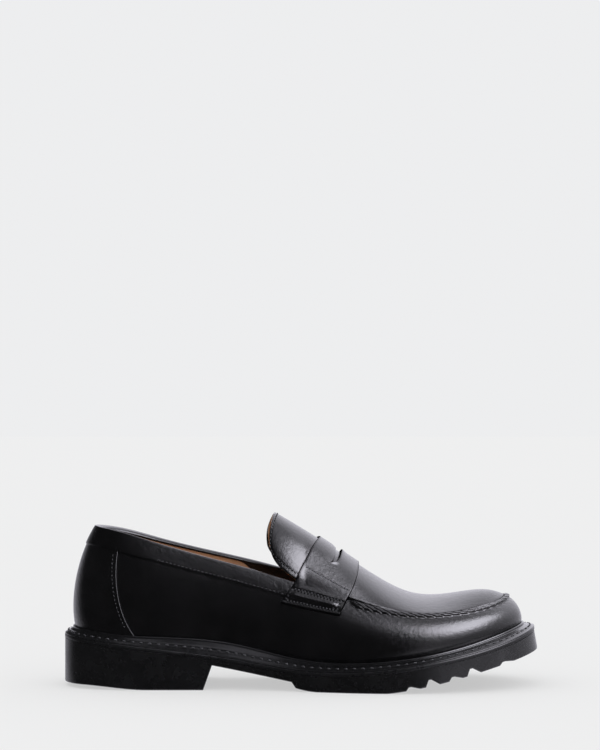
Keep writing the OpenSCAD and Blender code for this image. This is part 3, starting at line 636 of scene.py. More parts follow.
# ---- Sole ------------------------------------------------------------------------------
HEEL_FRONT, BREAST_RUN, BREAST_TOP = -61, 5.5, 15.4
HEEL_BEVEL, HEEL_BEVEL_X, HEEL_BEVEL_RUN = 2.6, -96, 40
WAIST_END, STEP_FOOT_X, STEP_FOOT, TREAD_FRONT = -6, -3.5, 2.2, 12
SPRING_START, SPRING_RISE, SPRING_POWER = 52, 0.0602, 1.3
EDGE_BEVEL, RIM_WIDTH, BLOCK_WIDTH, CHANNEL, CHANNEL_DEPTH, DRAFT = 1, 3, 13, 3.2, 0.7, 0.7
GROOVES = [(-138, 0.7, 0), (-124, 0.7, 0), (-110, 0.7, 0), (-96, 0.7, 0), (-82, 0.7, 0), (-68.5, 0.7, 0),
           (7, 0.7, 0), (19, 1, 0), (31, 0.7, 0), (43, 1, 0), (54.5, 0.7, 0),
           (66, 0.5, 1), (78.2, 1, 1), (92.6, 0.55, 1), (104, 1, 1), (124.6, 0.4, 1), (137, 0.4, 0)]
GROOVE_BACK, GROOVE_FLAT, GROOVE_FRONT = 1.6, 1.6, 5.5
CHANNELS_X = (-142, -67), (5, 138)


def underside(x):
    """Height of the sole's underside between its grooves."""
    x = np.asarray(x, float)
    waist_x = HEEL_FRONT + BREAST_RUN
    waist = mix(BREAST_TOP, WAIST_STEP, (x - waist_x) / (WAIST_END - waist_x))
    step = mix(WAIST_STEP, STEP_FOOT, (x - WAIST_END) / (STEP_FOOT_X - WAIST_END))
    fade = np.clip((TREAD_FRONT - x) / (TREAD_FRONT - STEP_FOOT_X), 0, 1)
    spring = SPRING_RISE * np.maximum(x - SPRING_START, 0) ** SPRING_POWER
    heel = HEEL_BEVEL * smooth((HEEL_BEVEL_X - x) / HEEL_BEVEL_RUN)
    breast = BREAST_TOP * (x - HEEL_FRONT) / BREAST_RUN
    return np.select([x < HEEL_FRONT, x < waist_x, x < WAIST_END, x < STEP_FOOT_X, x < TREAD_FRONT],
                     [heel, breast, waist, step, STEP_FOOT * fade ** 2], spring)


def groove_at(x, rim):
    depth = 0 * x
    for place, share, reach in GROOVES:
        if rim == 0 or reach == 1:
            f = np.where(x < place, (x - place + GROOVE_BACK) / GROOVE_BACK,
                         1 - (x - place - GROOVE_FLAT) / GROOVE_FRONT)
            depth = np.maximum(depth, share * np.clip(f, 0, 1))
    return depth


def sole_lines():
    """Places of the cross sections: the edges of every groove and an even fill between them."""
    ends = along(np.linspace(0.06, 1.5, 14))
    lines = list(mix(SOLE_X[0], SOLE_X[1], ends)) + list(mix(SOLE_X[0], SOLE_X[1], 1 - ends))
    for place, _, _ in GROOVES:
        lines += [place - GROOVE_BACK, place, place + GROOVE_FLAT, place + GROOVE_FLAT + GROOVE_FRONT]
    lines += [HEEL_FRONT, HEEL_FRONT + BREAST_RUN, WAIST_END, STEP_FOOT_X, 0, TREAD_FRONT]
    lines = np.unique(np.round(lines, 3))
    lines = lines[np.concatenate([[True], np.diff(lines) > 0.02])]
    fill = [np.linspace(a, b, max(int(np.ceil((b - a) / 2.5)), 1), endpoint=False)
            for a, b in zip(lines[:-1], lines[1:])]
    return np.concatenate(fill + [lines[-1:]])


def outsole():
    x = sole_lines()
    u = station((x - SOLE_X[0]) / (SOLE_X[1] - SOLE_X[0]), -1)
    z = KZ * underside(x)
    flare = TOE_FLARE * smooth((x - FLARE_X[0]) / (FLARE_X[1] - FLARE_X[0]))
    a, b = sole_out(u, 0 * u), sole_out(24 - u, 0 * u)
    a2, b2 = sole_out(u, flare), sole_out(24 - u, flare)
    top = edge_z(u) - WELT_EDGE - MIDSOLE_T - GAP
    half = (b2[:, 1] - a2[:, 1]) / 2
    side = z + LUG * groove_at(x, 1)
    inner = z + LUG * groove_at(x, 0)
    channel = sum((x > rear) & (x < front) for rear, front in CHANNELS_X)
    deep = z + LUG * np.maximum(CHANNEL_DEPTH * channel, groove_at(x, 0))
    fit = np.minimum(1, (half - 0.6) / (BLOCK_WIDTH + 2 * DRAFT + CHANNEL))
    steps = [(0.35, side + 0.35), (EDGE_BEVEL, side), (RIM_WIDTH, side), (RIM_WIDTH + DRAFT, inner),
             (BLOCK_WIDTH, inner), (BLOCK_WIDTH + DRAFT, deep), (BLOCK_WIDTH + DRAFT + CHANNEL, deep),
             (BLOCK_WIDTH + 2 * DRAFT + CHANNEL, inner)]
    mid = (a2[:, 1] + b2[:, 1]) / 2
    low = side + EDGE_BEVEL

    def half_section(edge, flared, out):
        line = [stack(edge[:, 0], mid + 0.5 * out, top), at(edge, top)]
        line += [at(mix(edge, flared, f), mix(top, low, f)) for f in (0.15, 0.4, 0.7, 1)]
        line += [stack(flared[:, 0], flared[:, 1] - out * inset * fit, height) for inset, height in steps]
        return line + [stack(flared[:, 0], mid + 0.2 * out, inner)]

    return loft(np.stack(half_section(a, a2, -1) + half_section(b, b2, 1)[::-1], 1))


def disc(edge, low, high, rows=8, bulge=0.0, columns=480):
    """Flat layer with a rounded rim: edge(r, inset) is its outline, low(r) and high(r) its faces."""
    r = np.linspace(0, 24, columns, endpoint=False)
    zero = 0 * r
    centre = edge(r, zero)
    ends = (centre[:, 0].min(), centre[:, 0].max())
    width = (ends[1] - ends[0]) * 0.16
    spine_x = np.clip(centre[:, 0], ends[0] + width, ends[1] - width)
    mirror = edge((24 - r) % 24, zero)
    spine = np.stack([spine_x, (centre[:, 1] + mirror[:, 1]) / 2], -1)
    rim = 0.3
    profile = [(rim, low(r)), (0.09, low(r) + rim * 0.3)]
    profile += [(-bulge * out, mix(low(r), high(r), share))
                for out, share in ((0.5, 0.25), (1, 0.5), (0.5, 0.75))]
    profile += [(0.09, high(r) - rim * 0.3), (rim, high(r))]
    outer = [at(edge(r, zero + d), z) for d, z in profile]

    def filled(line, height):
        middle = at(spine, height(spine_station(spine_x)))
        return [mix(line, middle, f) for f in np.linspace(0, 1, rows + 1)[1:]]

    rows_up = np.stack(filled(outer[0], low)[::-1] + outer + filled(outer[-1], high))
    return rows_up.reshape(-1, 3), grid_faces(len(rows_up), columns, wrap=True)


def spine_station(x):
    return station((x / KX - BACK_X[0]) / (TOE_X[0] - BACK_X[0]), -1)


def midsole():
    return disc(lambda r, d: sole_out(r, -d), lambda r: edge_z(r) - WELT_EDGE - MIDSOLE_T,
                lambda r: edge_z(r) - WELT_EDGE, bulge=0.15, columns=720)


# Shares across the welt's slope, from the outer edge to the bead: the stitches and the rows
STITCH_F = 0.42
WELT_ROWS = (0.97, 0.9, 0.8, 0.7, 0.62, 0.58, 0.54, 0.5, 0.46, 0.42, 0.38, 0.34, 0.3, 0.26, 0.22,
             0.15, 0.08, 0.04)
WELT_COLUMNS = 960


def welt_slope(r, f):
    edge, bead = sole_out(r, 0 * r), foot_out(r, 0 * r + BEAD)
    return at(mix(edge, bead, f), mix(edge_z(r), foot_z(r) - BEAD * 0.3, f))


def welt():
    r = np.linspace(0, 24, WELT_COLUMNS, endpoint=False)
    low = edge_z(r) - WELT_EDGE + GAP
    rows = [at(foot_out(r, 0 * r + GAP), low)]
    for angle in np.radians(np.linspace(170, -25, 14)):
        out = BEAD * 0.5 * (1 + math.cos(angle))
        rows.append(at(foot_out(r, 0 * r + out), foot_z(r) + BEAD * 0.5 * math.sin(angle)))
    for f in WELT_ROWS:
        near = abs(f - STITCH_F)
        relief = -0.32 * math.exp(-(near / 0.05) ** 2) + 0.24 * math.exp(-((near - 0.12) / 0.045) ** 2)
        rows.append(welt_slope(r, f) + [0, 0, relief])
    edge = edge_z(r)
    for inset, height in ((0.16, edge - 0.02), (0.05, edge - 0.1), (0, edge - 0.25), (0, low + 0.1),
                          (0.1, low)):
        rows.append(at(sole_out(r, 0 * r - inset), height))
    return loft(np.stack(rows, 1), closed=True)


def welt_stitching():
    r = np.linspace(0, 24, 1500)
    p = welt_slope(r, STITCH_F)
    tangent = np.gradient(p, axis=0)
    across = welt_slope(r, STITCH_F + 0.05) - welt_slope(r, STITCH_F - 0.05)
    n = unit(np.cross(across, tangent))
    n = np.where(n[:, 2:] < 0, -n, n)
    return sewn_row(p, n, -0.1, WELT_PITCH, 0.95, fill=0.48, arch=0.4, sink=0.7)


# ---- Upper -----------------------------------------------------------------------------
def heel_seam_x(t):
    return bezier([-103, -116, -118, -111.5], t)


def heel_seam(t, side):
    return wall_station(KX * heel_seam_x(t), t, side)


STRAP_FRONT_X = 29.0
# The vamp's columns are close together in front of this
DENSE_FROM_X = 22


def seam_phase(r_top):
    """Distance along the apron seam from the strap's front edge, at stations on the top."""
    fine, s = top_seam(STRAP_FRONT_X, 2000)
    return np.interp(r_top, fine, s, left=-1, right=-1), s[-1]


# Puckers lean back on their way down the wall
PUCKER_LEAN = 4.4


def pucker_shift(depth):
    return PUCKER_LEAN * (depth - 0.05) / 0.08


def vamp():
    fine, s = top_seam(DENSE_FROM_X, 4000)
    rear_r = np.linspace(float(heel_seam(1.0, -1)), fine[0], 70)[:-1]
    front_r = np.interp(np.arange(0, s[-1], 0.4), s, fine)
    r_top = np.concatenate([rear_r, front_r, (24 - rear_r)[::-1]])
    t = np.concatenate([np.linspace(0, 0.86, 34), np.linspace(0.86, 1, 27)[1:]])
    tt, rt = np.meshgrid(t, r_top, indexing="ij")
    half = rt <= 12
    start = np.where(half, heel_seam(tt, -1), 24 - heel_seam(tt, -1))
    top = np.where(half, heel_seam(1.0, -1), 24 - heel_seam(1.0, -1))
    r = start + (rt - top) * (12 - start) / (12 - top)
    p = wall(r, tt)
    n = wall_normal(r, tt)
    phase, total = seam_phase(rt)
    inside = smooth(phase / 6) * smooth((total - phase) / 6)
    pitch = total / round(total / APRON_PITCH)
    u = (phase - pucker_shift(1 - tt)) / pitch
    dist = np.abs(u - np.round(u)) * pitch
    band = smooth((tt - 0.875) / 0.035) * (1 - 0.45 * smooth((tt - 0.97) / 0.03))
    cut = np.exp(-(dist / 0.5) ** 2)
    lobe = 1 - 0.25 * (dist / (pitch / 2) - 0.5) ** 2
    rim = RIM_H * band * inside * (lobe - 0.72 * cut)
    below_rim = smooth((tt - 0.76) / 0.1) * (1 - smooth((tt - 0.87) / 0.02))
    ripple = 0.16 * np.cos(2 * np.pi * u) * below_rim * inside
    return shell(p + (rim + ripple)[..., None] * n, p - LEATHER * n)


COVER_WIDTH, COVER_HEIGHT = 124, 68


def heel_cover():
    t = eased(44, COVER_HEIGHT, 0.4)
    c = eased(110, COVER_WIDTH, 0.55)
    tt, cc = np.meshgrid(t, c, indexing="ij")
    reach = heel_seam(tt, -1)
    r = mix(-reach, reach, cc)
    p, n = wall(r, tt), wall_normal(r, tt)
    edge = np.minimum(cc, 1 - cc) * COVER_WIDTH
    lip = 0.18 * np.exp(-((edge - 0.7) / 0.6) ** 2)
    groove = -0.16 * np.exp(-((edge - 3.0) / 0.7) ** 2)
    groove = groove * smooth((tt - 0.05) / 0.05) * smooth((0.8 - tt) / 0.05)
    up = COVER_PROUD + lip + groove - rounding(edge, 0.5)
    return shell(p + up[..., None] * n, p + (COVER_PROUD - LEATHER) * n)


HEEL_SEAM_INSET = 2.8


def heel_seam_stitching():
    parts = []
    for side in (-1, 1):
        t = np.linspace(0.1, 0.78, 200)
        r = wall_station(KX * (heel_seam_x(t) - HEEL_SEAM_INSET), t, side)
        parts.append(wall_row(r, t, COVER_PROUD - 0.05))
    return joined(parts)


def wall_lining(r_from, r_to, columns, t_from, t_to, rows):
    c, t = np.linspace(0, 1, columns), np.linspace(t_from, t_to, rows)
    tt, cc = np.meshgrid(t, c, indexing="ij")
    r = mix(r_from, r_to, cc)
    p, n = wall(r, tt), wall_normal(r, tt)
    wave = 0.12 * np.sin(r * 9.0 + tt * 7) * np.sin(tt * 11 + r * 2.3) * smooth((1 - tt) / 0.1)
    return shell(p - LINING_D * n, p - (LINING_D + LINING + wave)[..., None] * n)


LINING_JOIN_X, LINING_FOOT = -6, 0.02


def quarter_lining():
    a = outer_station(LINING_JOIN_X, 0.5) - 0.02
    return wall_lining(-a, a, 200, LINING_FOOT, 0.985, 60)


def vamp_lining():
    a = outer_station(LINING_JOIN_X, 0.5) + 0.02
    return wall_lining(a, 24 - a, 160, LINING_FOOT, 0.94, 30)


def collar_profile():
    """Section of the folded band: distance out, and height above the top or depth below it."""
    o, i = COLLAR_SKIN + GAP, -(LINING_D + LINING + GAP) - COLLAR_SKIN
    top = [(o - 0.15, -COLLAR_DEPTH), (o, -COLLAR_DEPTH + 0.2)]
    top += [(o, -d) for d in (10, 8, 6, 4, 2.5, 1.2)]
    middle, radius = (o + i) / 2, (o - i) / 2
    top += [(middle + radius * math.cos(a), -0.3 + 1.05 * math.sin(a))
            for a in np.radians(np.linspace(0, 180, 15))]
    top += [(i, -0.8), (i, -COLLAR_INNER + 0.2), (i + 0.15, -COLLAR_INNER)]
    under = [(i + COLLAR_SKIN, -COLLAR_INNER), (i + COLLAR_SKIN, -0.8)]
    under += [(middle + (radius - COLLAR_SKIN) * math.cos(a), -0.35 + 0.5 * math.sin(a))
              for a in np.radians(np.linspace(180, 0, 9))]
    under += [(0.05, -1.2), (0.05, -COLLAR_DEPTH)]
    return np.array(top + under)


COVER_REACH, COVER_FADE = 3.6, 1.3
COLLAR_END_X = 1
# The fold's inner edge runs deeper towards the throat, so its black leather covers more of the tan lining
# there
THROAT_FOLD_X, THROAT_FOLD_RUN, THROAT_FOLD_DEPTH = -40, 24, 14


def collar_point(r, p):
    """Points of the band at stations r for profile points p, as an array of sections."""
    rr = r[:, None] + 0 * p[None, :, 0]
    drop, rise = np.minimum(p[:, 1], 0)[None], np.maximum(p[:, 1], 0)[None]
    inner_edge = (p[:, 0] < -LINING_D) & (p[:, 1] < -1)
    top_x = wall(r, np.ones_like(r))[:, 0] / KX
    fold_deepening = THROAT_FOLD_DEPTH * smooth((top_x - THROAT_FOLD_X) / THROAT_FOLD_RUN)
    t = depth_t(rr, -drop + fold_deepening[:, None] * inner_edge[None])
    n = wall_normal(rr, t)
    up = unit(wall(rr, np.ones_like(rr)) - wall(rr, np.full_like(rr, 0.97)))
    proud = COVER_PROUD * smooth((COVER_REACH - np.abs(rr)) / COVER_FADE)
    out = p[None, :, 0] + np.where(p[None, :, 0] > 0, proud, 0)
    return wall(rr, t) + out[..., None] * n + (rise + 0 * rr)[..., None] * up


def collar():
    end = outer_station(COLLAR_END_X)
    return loft(collar_point(np.linspace(-end, end, 300), collar_profile()))


COLLAR_STITCH_X, COLLAR_STITCH_RISE = (-90, -6), 1.5


def collar_stitching():
    parts = []
    for side in (-1, 1):
        x = np.linspace(*COLLAR_STITCH_X, 400)
        r0 = wall_station(KX * x, np.full_like(x, 0.8), side)
        t = depth_t(r0, COLLAR_DEPTH - COLLAR_STITCH_RISE)
        parts.append(wall_row(wall_station(KX * x, t, side), t, COLLAR_SKIN + 0.02))
    return joined(parts)


def seam_polyline():
    r = np.linspace(5.2, 18.8, 1600)
    return wall(r, np.ones_like(r))


def distance_to(path, points):
    flat = points.reshape(-1, 3)
    out = np.empty(len(flat))
    for i in range(0, len(flat), 2000):
        d = flat[i:i + 2000, None] - path[None]
        out[i:i + 2000] = np.sqrt((d * d).sum(-1).min(1))
    return out.reshape(points.shape[:-1])


GROOVE_DIP = 1.0


def apron_grid():
    q = np.concatenate([np.linspace(0.02, 1, 190), 1 + mix(0, 1, eased(60, 36, 0.5))[6:]])
    w = mix(-1, 1, eased(120, 110, 0.5))
    return np.meshgrid(q, w, indexing="ij")


def apron():
    q, w = apron_grid()
    p, n = apron_at(q, w), apron_normal(q, w)
    dist = distance_to(seam_polyline()[::4], p)
    front = smooth((p[..., 0] - 8) / 12)
    dip = GROOVE_DIP * np.exp(-(dist / 1.1) ** 2) * front
    free = smooth((q - 1.02) / 0.06)
    side = (1 - np.abs(w)) * 50
    tip = (2 - q) * 34
    edge = np.where(q > 1, np.minimum(side, tip), side)
    stitch_groove = 0.14 * np.exp(-((edge - 3.2) / 0.6) ** 2) * free
    up = -dip - rounding(np.maximum(edge, 0), 0.5) * free - stitch_groove
    return shell(p + up[..., None] * n, p - LEATHER * n)


# The tongue's stitches, as shares in from its sides and its tip
TONGUE_INSET, TIP_INSET = 0.068, 0.094


def tongue_stitching():
    along_side = np.linspace(1.1, 2 - TIP_INSET, 120)
    across = np.linspace(-1 + TONGUE_INSET, 1 - TONGUE_INSET, 240)
    q = np.concatenate([along_side, np.full(238, along_side[-1]), along_side[::-1]])
    w = np.concatenate([np.full(120, across[0]), across[1:-1], np.full(120, across[-1])])
    return sewn_row(apron_at(q, w), apron_normal(q, w), -0.08, FINE_PITCH, FINE_D)


def apron_lining():
    q, w = apron_grid()
    keep = q[:, 0] > 0.3
    q, w = np.minimum(q[keep], 1.985), w[keep] * 0.955
    n = apron_normal(q, w)
    p = apron_at(q, w)
    return shell(p - (LEATHER + GAP) * n, p - (LEATHER + GAP + LINING) * n)


SEAM_THREAD_D = 0.62


def apron_seam_thread():
    """One leaning stitch in every cut of the puckered rim."""
    fine, s = top_seam(STRAP_FRONT_X, 3000)
    count = int(round(s[-1] / APRON_PITCH))
    pitch = s[-1] / count
    k = np.arange(1, count)

    def place(depth, lift):
        # the cut for stitch k lies where phase - lean equals k pitches
        r = np.interp(k * pitch + pucker_shift(depth), s, fine)
        t = np.full_like(r, 1 - depth)
        return wall_off(r, t, np.full_like(r, lift)), wall_normal(r, t)

    a, na = place(0.018, RIM_H * 0.42)
    b, nb = place(0.115, RIM_H * 0.08)
    mid, nm = place(0.06, RIM_H * 0.42)
    return joined([threads(p, end, unit(n), SEAM_THREAD_D, arch=0.25, sink=0.3)
                   for p, end, n in ((a, mid, na + nm), (mid, b, nm + nb))])


# ---- Saddle strap ----------------------------------------------------------------------
# a runs along the strap: 0 on the ridge, 1 at the apron's edge, STRAP_END at the sewn end
STRAP_END = 1.36
MM_PER_A = 33
STRAP_REAR, STRAP_FRONT = (11, -14.5, 1.5), (35.8, -7.2, 2.8)
STRAP_DROP, STRAP_SHIFT = (14.8, 12.4), (-9.2, -4.8)
SLOT_PLACE = 0.49
# Height of the strap's underside over the apron, over the collar and at its ends
STRAP_FOOT = (0.1, 0.95, 0.4)


def strap_x(f, a):
    w = np.minimum(np.abs(a), 1)
    return mix(STRAP_REAR[0] + STRAP_REAR[1] * w ** STRAP_REAR[2],
               STRAP_FRONT[0] + STRAP_FRONT[1] * w ** STRAP_FRONT[2], f)


def strap_q(x, w):
    lo, hi = np.full_like(x, 0.2), np.full_like(x, 1.9)
    for _ in range(26):
        m = (lo + hi) / 2
        ahead = apron_at(m, w)[..., 0] > x * KX
        lo, hi = np.where(ahead, m, lo), np.where(ahead, hi, m)
    return (lo + hi) / 2


def strap_base(f, a):
    """Points on the apron (|a| up to 1) or on the wall below it (beyond 1)."""
    side, x = np.where(a < 0, -1.0, 1.0), strap_x(f, a)
    w = np.clip(a, -1, 1)
    on_apron = apron_at(strap_q(x, w), w)
    s = np.maximum(np.abs(a) - 1, 0) / (STRAP_END - 1)
    r0 = wall_station(KX * x, 1.0, side)
    t = depth_t(r0, s * mix(STRAP_DROP[0], STRAP_DROP[1], f))
    r = wall_station(KX * (x + s * mix(STRAP_SHIFT[0], STRAP_SHIFT[1], f)), t, side)
    return np.where((np.abs(a) <= 1)[..., None], on_apron, wall(r, t))


def slot_f(a, edge):
    w = np.minimum(np.abs(a), SLOT_REACH)
    long = strap_x(1, a) - strap_x(0, a)
    half = SLOT_W / 2 * np.sqrt(np.maximum(1 - (w / SLOT_REACH) ** 2, 0))
    v = w / SLOT_REACH
    return SLOT_PLACE - (SLOT_BEND * v ** 2 + SLOT_CURL * v ** 8) / long + edge * half / long


STRAP_ROUND = 0.55
FRONT_LIP, REAR_LIP = 0.6, 0.7
# Width and fade in mm of the matt band along the strap's cut edges: painted shade for the shadow line
# there
EDGE_SHADE_REACH, EDGE_SHADE_FADE = 0.6, 0.2
BAND_ROWS = 13


def strap_grid():
    """Shares (f, a) with doubled columns at the slot's two edges."""
    a_side = np.concatenate([np.linspace(0, SLOT_REACH * 0.96, 34),
                             SLOT_REACH * np.array([0.975, 0.988, 0.996, 1.0, 1.02]),
                             np.linspace(0.66, STRAP_END - 0.04, 56),
                             STRAP_END - np.array([0.026, 0.015, 0.008, 0.003, 0])])
    a = np.concatenate([-a_side[:0:-1], a_side])
    band = eased(BAND_ROWS, 13, STRAP_ROUND)
    rear = slot_f(a, -1)[:, None] * band[None]
    front = mix(slot_f(a, 1)[:, None], 1, band[None])
    return np.concatenate([rear, front], 1), a, len(band)


def strap_frame():
    """Smoothed points and normals under the strap, on its grid."""
    f, a, m = strap_grid()
    p = strap_base(f, a[:, None] + 0 * f)
    near = np.exp(-((np.abs(a) - 1) / 0.1) ** 2)[:, None, None]
    for _ in range(30):
        even_out = p.copy()
        even_out[1:-1] = (p[:-2] + 2 * p[1:-1] + p[2:]) / 4
        p = mix(p, even_out, near)
    down = np.gradient(p, axis=0)
    forth = p[:, -1:] - p[:, :1]
    n = unit(np.cross(forth, down))
    return f, a, m, p, n


def strap_lift(a):
    over_collar = mix(STRAP_FOOT[0], STRAP_FOOT[1], smooth((np.abs(a) - 0.6) / 0.37))
    return mix(over_collar, STRAP_FOOT[2], smooth((np.abs(a) - 1.2) / 0.16))


def saddle_strap():
    f, a, m, p, n = strap_frame()
    width = np.linalg.norm(p[:, -1] - p[:, 0], axis=-1)[:, None]
    rear_edge, front_edge = f * width, (1 - f) * width
    end = (STRAP_END - np.abs(a))[:, None] * MM_PER_A + 0 * f
    slot_a, slot_b = slot_f(a, -1)[:, None], slot_f(a, 1)[:, None]
    columns = np.arange(f.shape[1])[None]
    to_slot = np.where(columns < m, slot_a - f, f - slot_b) * width
    open_slot = np.abs(a)[:, None] < SLOT_REACH - 1e-6
    gap = (slot_b - slot_a) * width
    edge = np.minimum(np.minimum(rear_edge, front_edge), end)
    drop = rounding(edge, STRAP_ROUND)
    slot_round = np.minimum(STRAP_ROUND, gap * 0.4)
    drop = np.maximum(drop, np.where(open_slot, rounding(to_slot, np.maximum(slot_round, 1e-3)), 0))
    lip = np.where(open_slot, np.exp(-(to_slot / 2.4) ** 2) * smooth(gap / 1.5), 0)
    lip = np.where(columns < m, -REAR_LIP * lip, FRONT_LIP * lip)
    lift = strap_lift(a)[:, None]
    box = box_relief(a[:, None] + 0 * f, f, width)
    outer = p + (lift + STRAP_T - drop + lip + box)[..., None] * n
    inner = p + (lift + np.maximum(lip, 0) * 0.8)[..., None] * n
    rows, cols = f.shape
    k = rows * cols
    quads = grid_faces(rows, cols).reshape(rows - 1, cols - 1, 4)
    skip = np.ones(cols - 1, bool)
    skip[m - 1] = False
    over = quads[:, skip].reshape(-1, 4)[:, ::-1]
    i = np.arange(k).reshape(rows, cols)
    sides = []

    def wall_strip(line):
        b = np.roll(line, -1)[:-1]
        c = line[:-1]
        sides.append(np.stack([c, b, b + k, c + k], -1))

    wall_strip(i[:, 0])
    wall_strip(i[:, -1])
    wall_strip(i[0, :m]), wall_strip(i[0, m:]), wall_strip(i[-1, :m]), wall_strip(i[-1, m:])
    opened = np.flatnonzero(open_slot[:, 0])
    span = slice(opened[0] - 1, opened[-1] + 2)
    wall_strip(i[span, m - 1])
    wall_strip(i[span, m])
    faces = np.concatenate([over, over[:, ::-1] + k] + sides)
    # Painted shade: a matt band along the cut edges and the slot's front side, and the whole underside
    cut = np.minimum(edge, np.where(open_slot & (columns >= m), to_slot, EDGE_SHADE_REACH))
    painted_edge_shade = smooth((EDGE_SHADE_REACH - cut) / EDGE_SHADE_FADE)
    return (np.concatenate([outer.reshape(-1, 3), inner.reshape(-1, 3)]), faces), \
        np.concatenate([painted_edge_shade.ravel(), np.ones(k)])


# The box of stitches: its long rows along a, and its short rows (two in front, one behind) along f
BOX_TOP, BOX_LOW = STRAP_END - 0.235, STRAP_END - 0.05
POSTS = (0.93, 0.86, 0.05)
PAD_RISE, SEAM_DEPTH, POST_DEPTH, FINE_DEPTH, SEAM_SINK = 0.75, 0.45, 0.22, 0.14, 0.2
# The thin seam above the sewn end, at the strap's rear and front edges
FINE_SEAM = (0.79, 0.885)


def box_relief(a, f, width):
    """Sewn end of the strap: a padded ridge between two stitched channels."""
    w = np.abs(a)

    def bell(away, reach):
        return np.exp(-(away / reach) ** 2)

    inside = smooth((f - 0.08) / 0.04) * smooth((0.9 - f) / 0.04)
    pad = PAD_RISE * bell((w - (BOX_TOP + BOX_LOW) / 2) * MM_PER_A, 1.5) * inside
    rows = -SEAM_DEPTH * sum(bell((w - row) * MM_PER_A, 0.8) for row in (BOX_LOW, BOX_TOP))
    sewn = smooth((w - BOX_TOP + 0.03) / 0.02)
    posts = -POST_DEPTH * sum(bell((f - post) * width, 0.5) for post in POSTS[:2]) * sewn
    line = -FINE_DEPTH * bell((w - mix(*FINE_SEAM, f)) * 38, 0.5)
    return pad + rows + posts + line


def strap_rows():
    """Sampler of the strap's top surface: point and normal at (f, a)."""
    f, a, m, p, n = strap_frame()
    keep = np.r_[0:m, m + 1:f.shape[1]]
    f, grid = f[:, keep], np.concatenate([p, n], -1)[:, keep]

    def sample(fs, aa):
        row = np.interp(aa, a, np.arange(len(a)))
        i = np.clip(np.floor(row).astype(int), 0, len(a) - 2)
        ends = [np.array([[np.interp(x, f[k], grid[k, :, c]) for c in range(6)] for x, k in zip(fs, j)])
                for j in (i, i + 1)]
        both_parts = mix(*ends, (row - i)[:, None])
        return both_parts[:, :3], unit(both_parts[:, 3:])

    return sample


def strap_stitching():
    sample = strap_rows()
    fs = np.linspace(0.06, 0.95, 60)
    rows = [(fs, mix(*ends, fs), pitch, d) for ends, pitch, d in
            (((BOX_LOW, BOX_LOW), 2.1, 1.25), ((BOX_TOP, BOX_TOP), 2.1, 1.25), (FINE_SEAM, 1.9, 0.65))]
    rows += [(np.full(40, post), np.linspace(BOX_TOP, BOX_LOW, 40), 2.1, 1.1) for post in POSTS]
    parts = []
    for side in (-1, 1):
        for f, a, pitch, d in rows:
            lift = strap_lift(a)[:, None] + STRAP_T - SEAM_SINK
            parts.append(sewn_row(*sample(f, side * a), lift, pitch, d, arch=0.55, sink=0.8))
    return joined(parts)


# ---- Inside ----------------------------------------------------------------------------
BOARD_INSET, BOARD_T, BOARD_SINK, SOCK_T, PAD_T = 3.5, 2.2, 1.4, 1.1, 2.4
PAD_END_X, PAD_FADE, PAD_LEAST = -44, 28, 0.15


def sock_low(r):
    x = mix(BACK_X[0], TOE_X[0], along(r))
    pad = PAD_T * smooth((PAD_END_X - x) / PAD_FADE) + PAD_LEAST
    return foot_z(r) - BOARD_SINK + BOARD_T + 3 * GAP + pad


def sock_lining():
    return disc(lambda r, d: foot_out(r, -(d + BOARD_INSET + 0.2)), sock_low,
                lambda r: sock_low(r) + SOCK_T, rows=24)


# ---- Scene -----------------------------------------------------------------------------
FLOOR_GREY = 0.862
FLOOR_GLOW = 0.6
GLOSS_LEVEL = 0.9
ROOM_TINT = (0.985, 0.99, 1.0, 1)
GLOSS_TINT = (0.985, 0.97, 1.07, 1)
CAMERA_DISTANCE, CAMERA_HEIGHT = 1.5, 0.1958
CAMERA_OFFSET = -0.0008
LENS, SENSOR = 113.28, 36


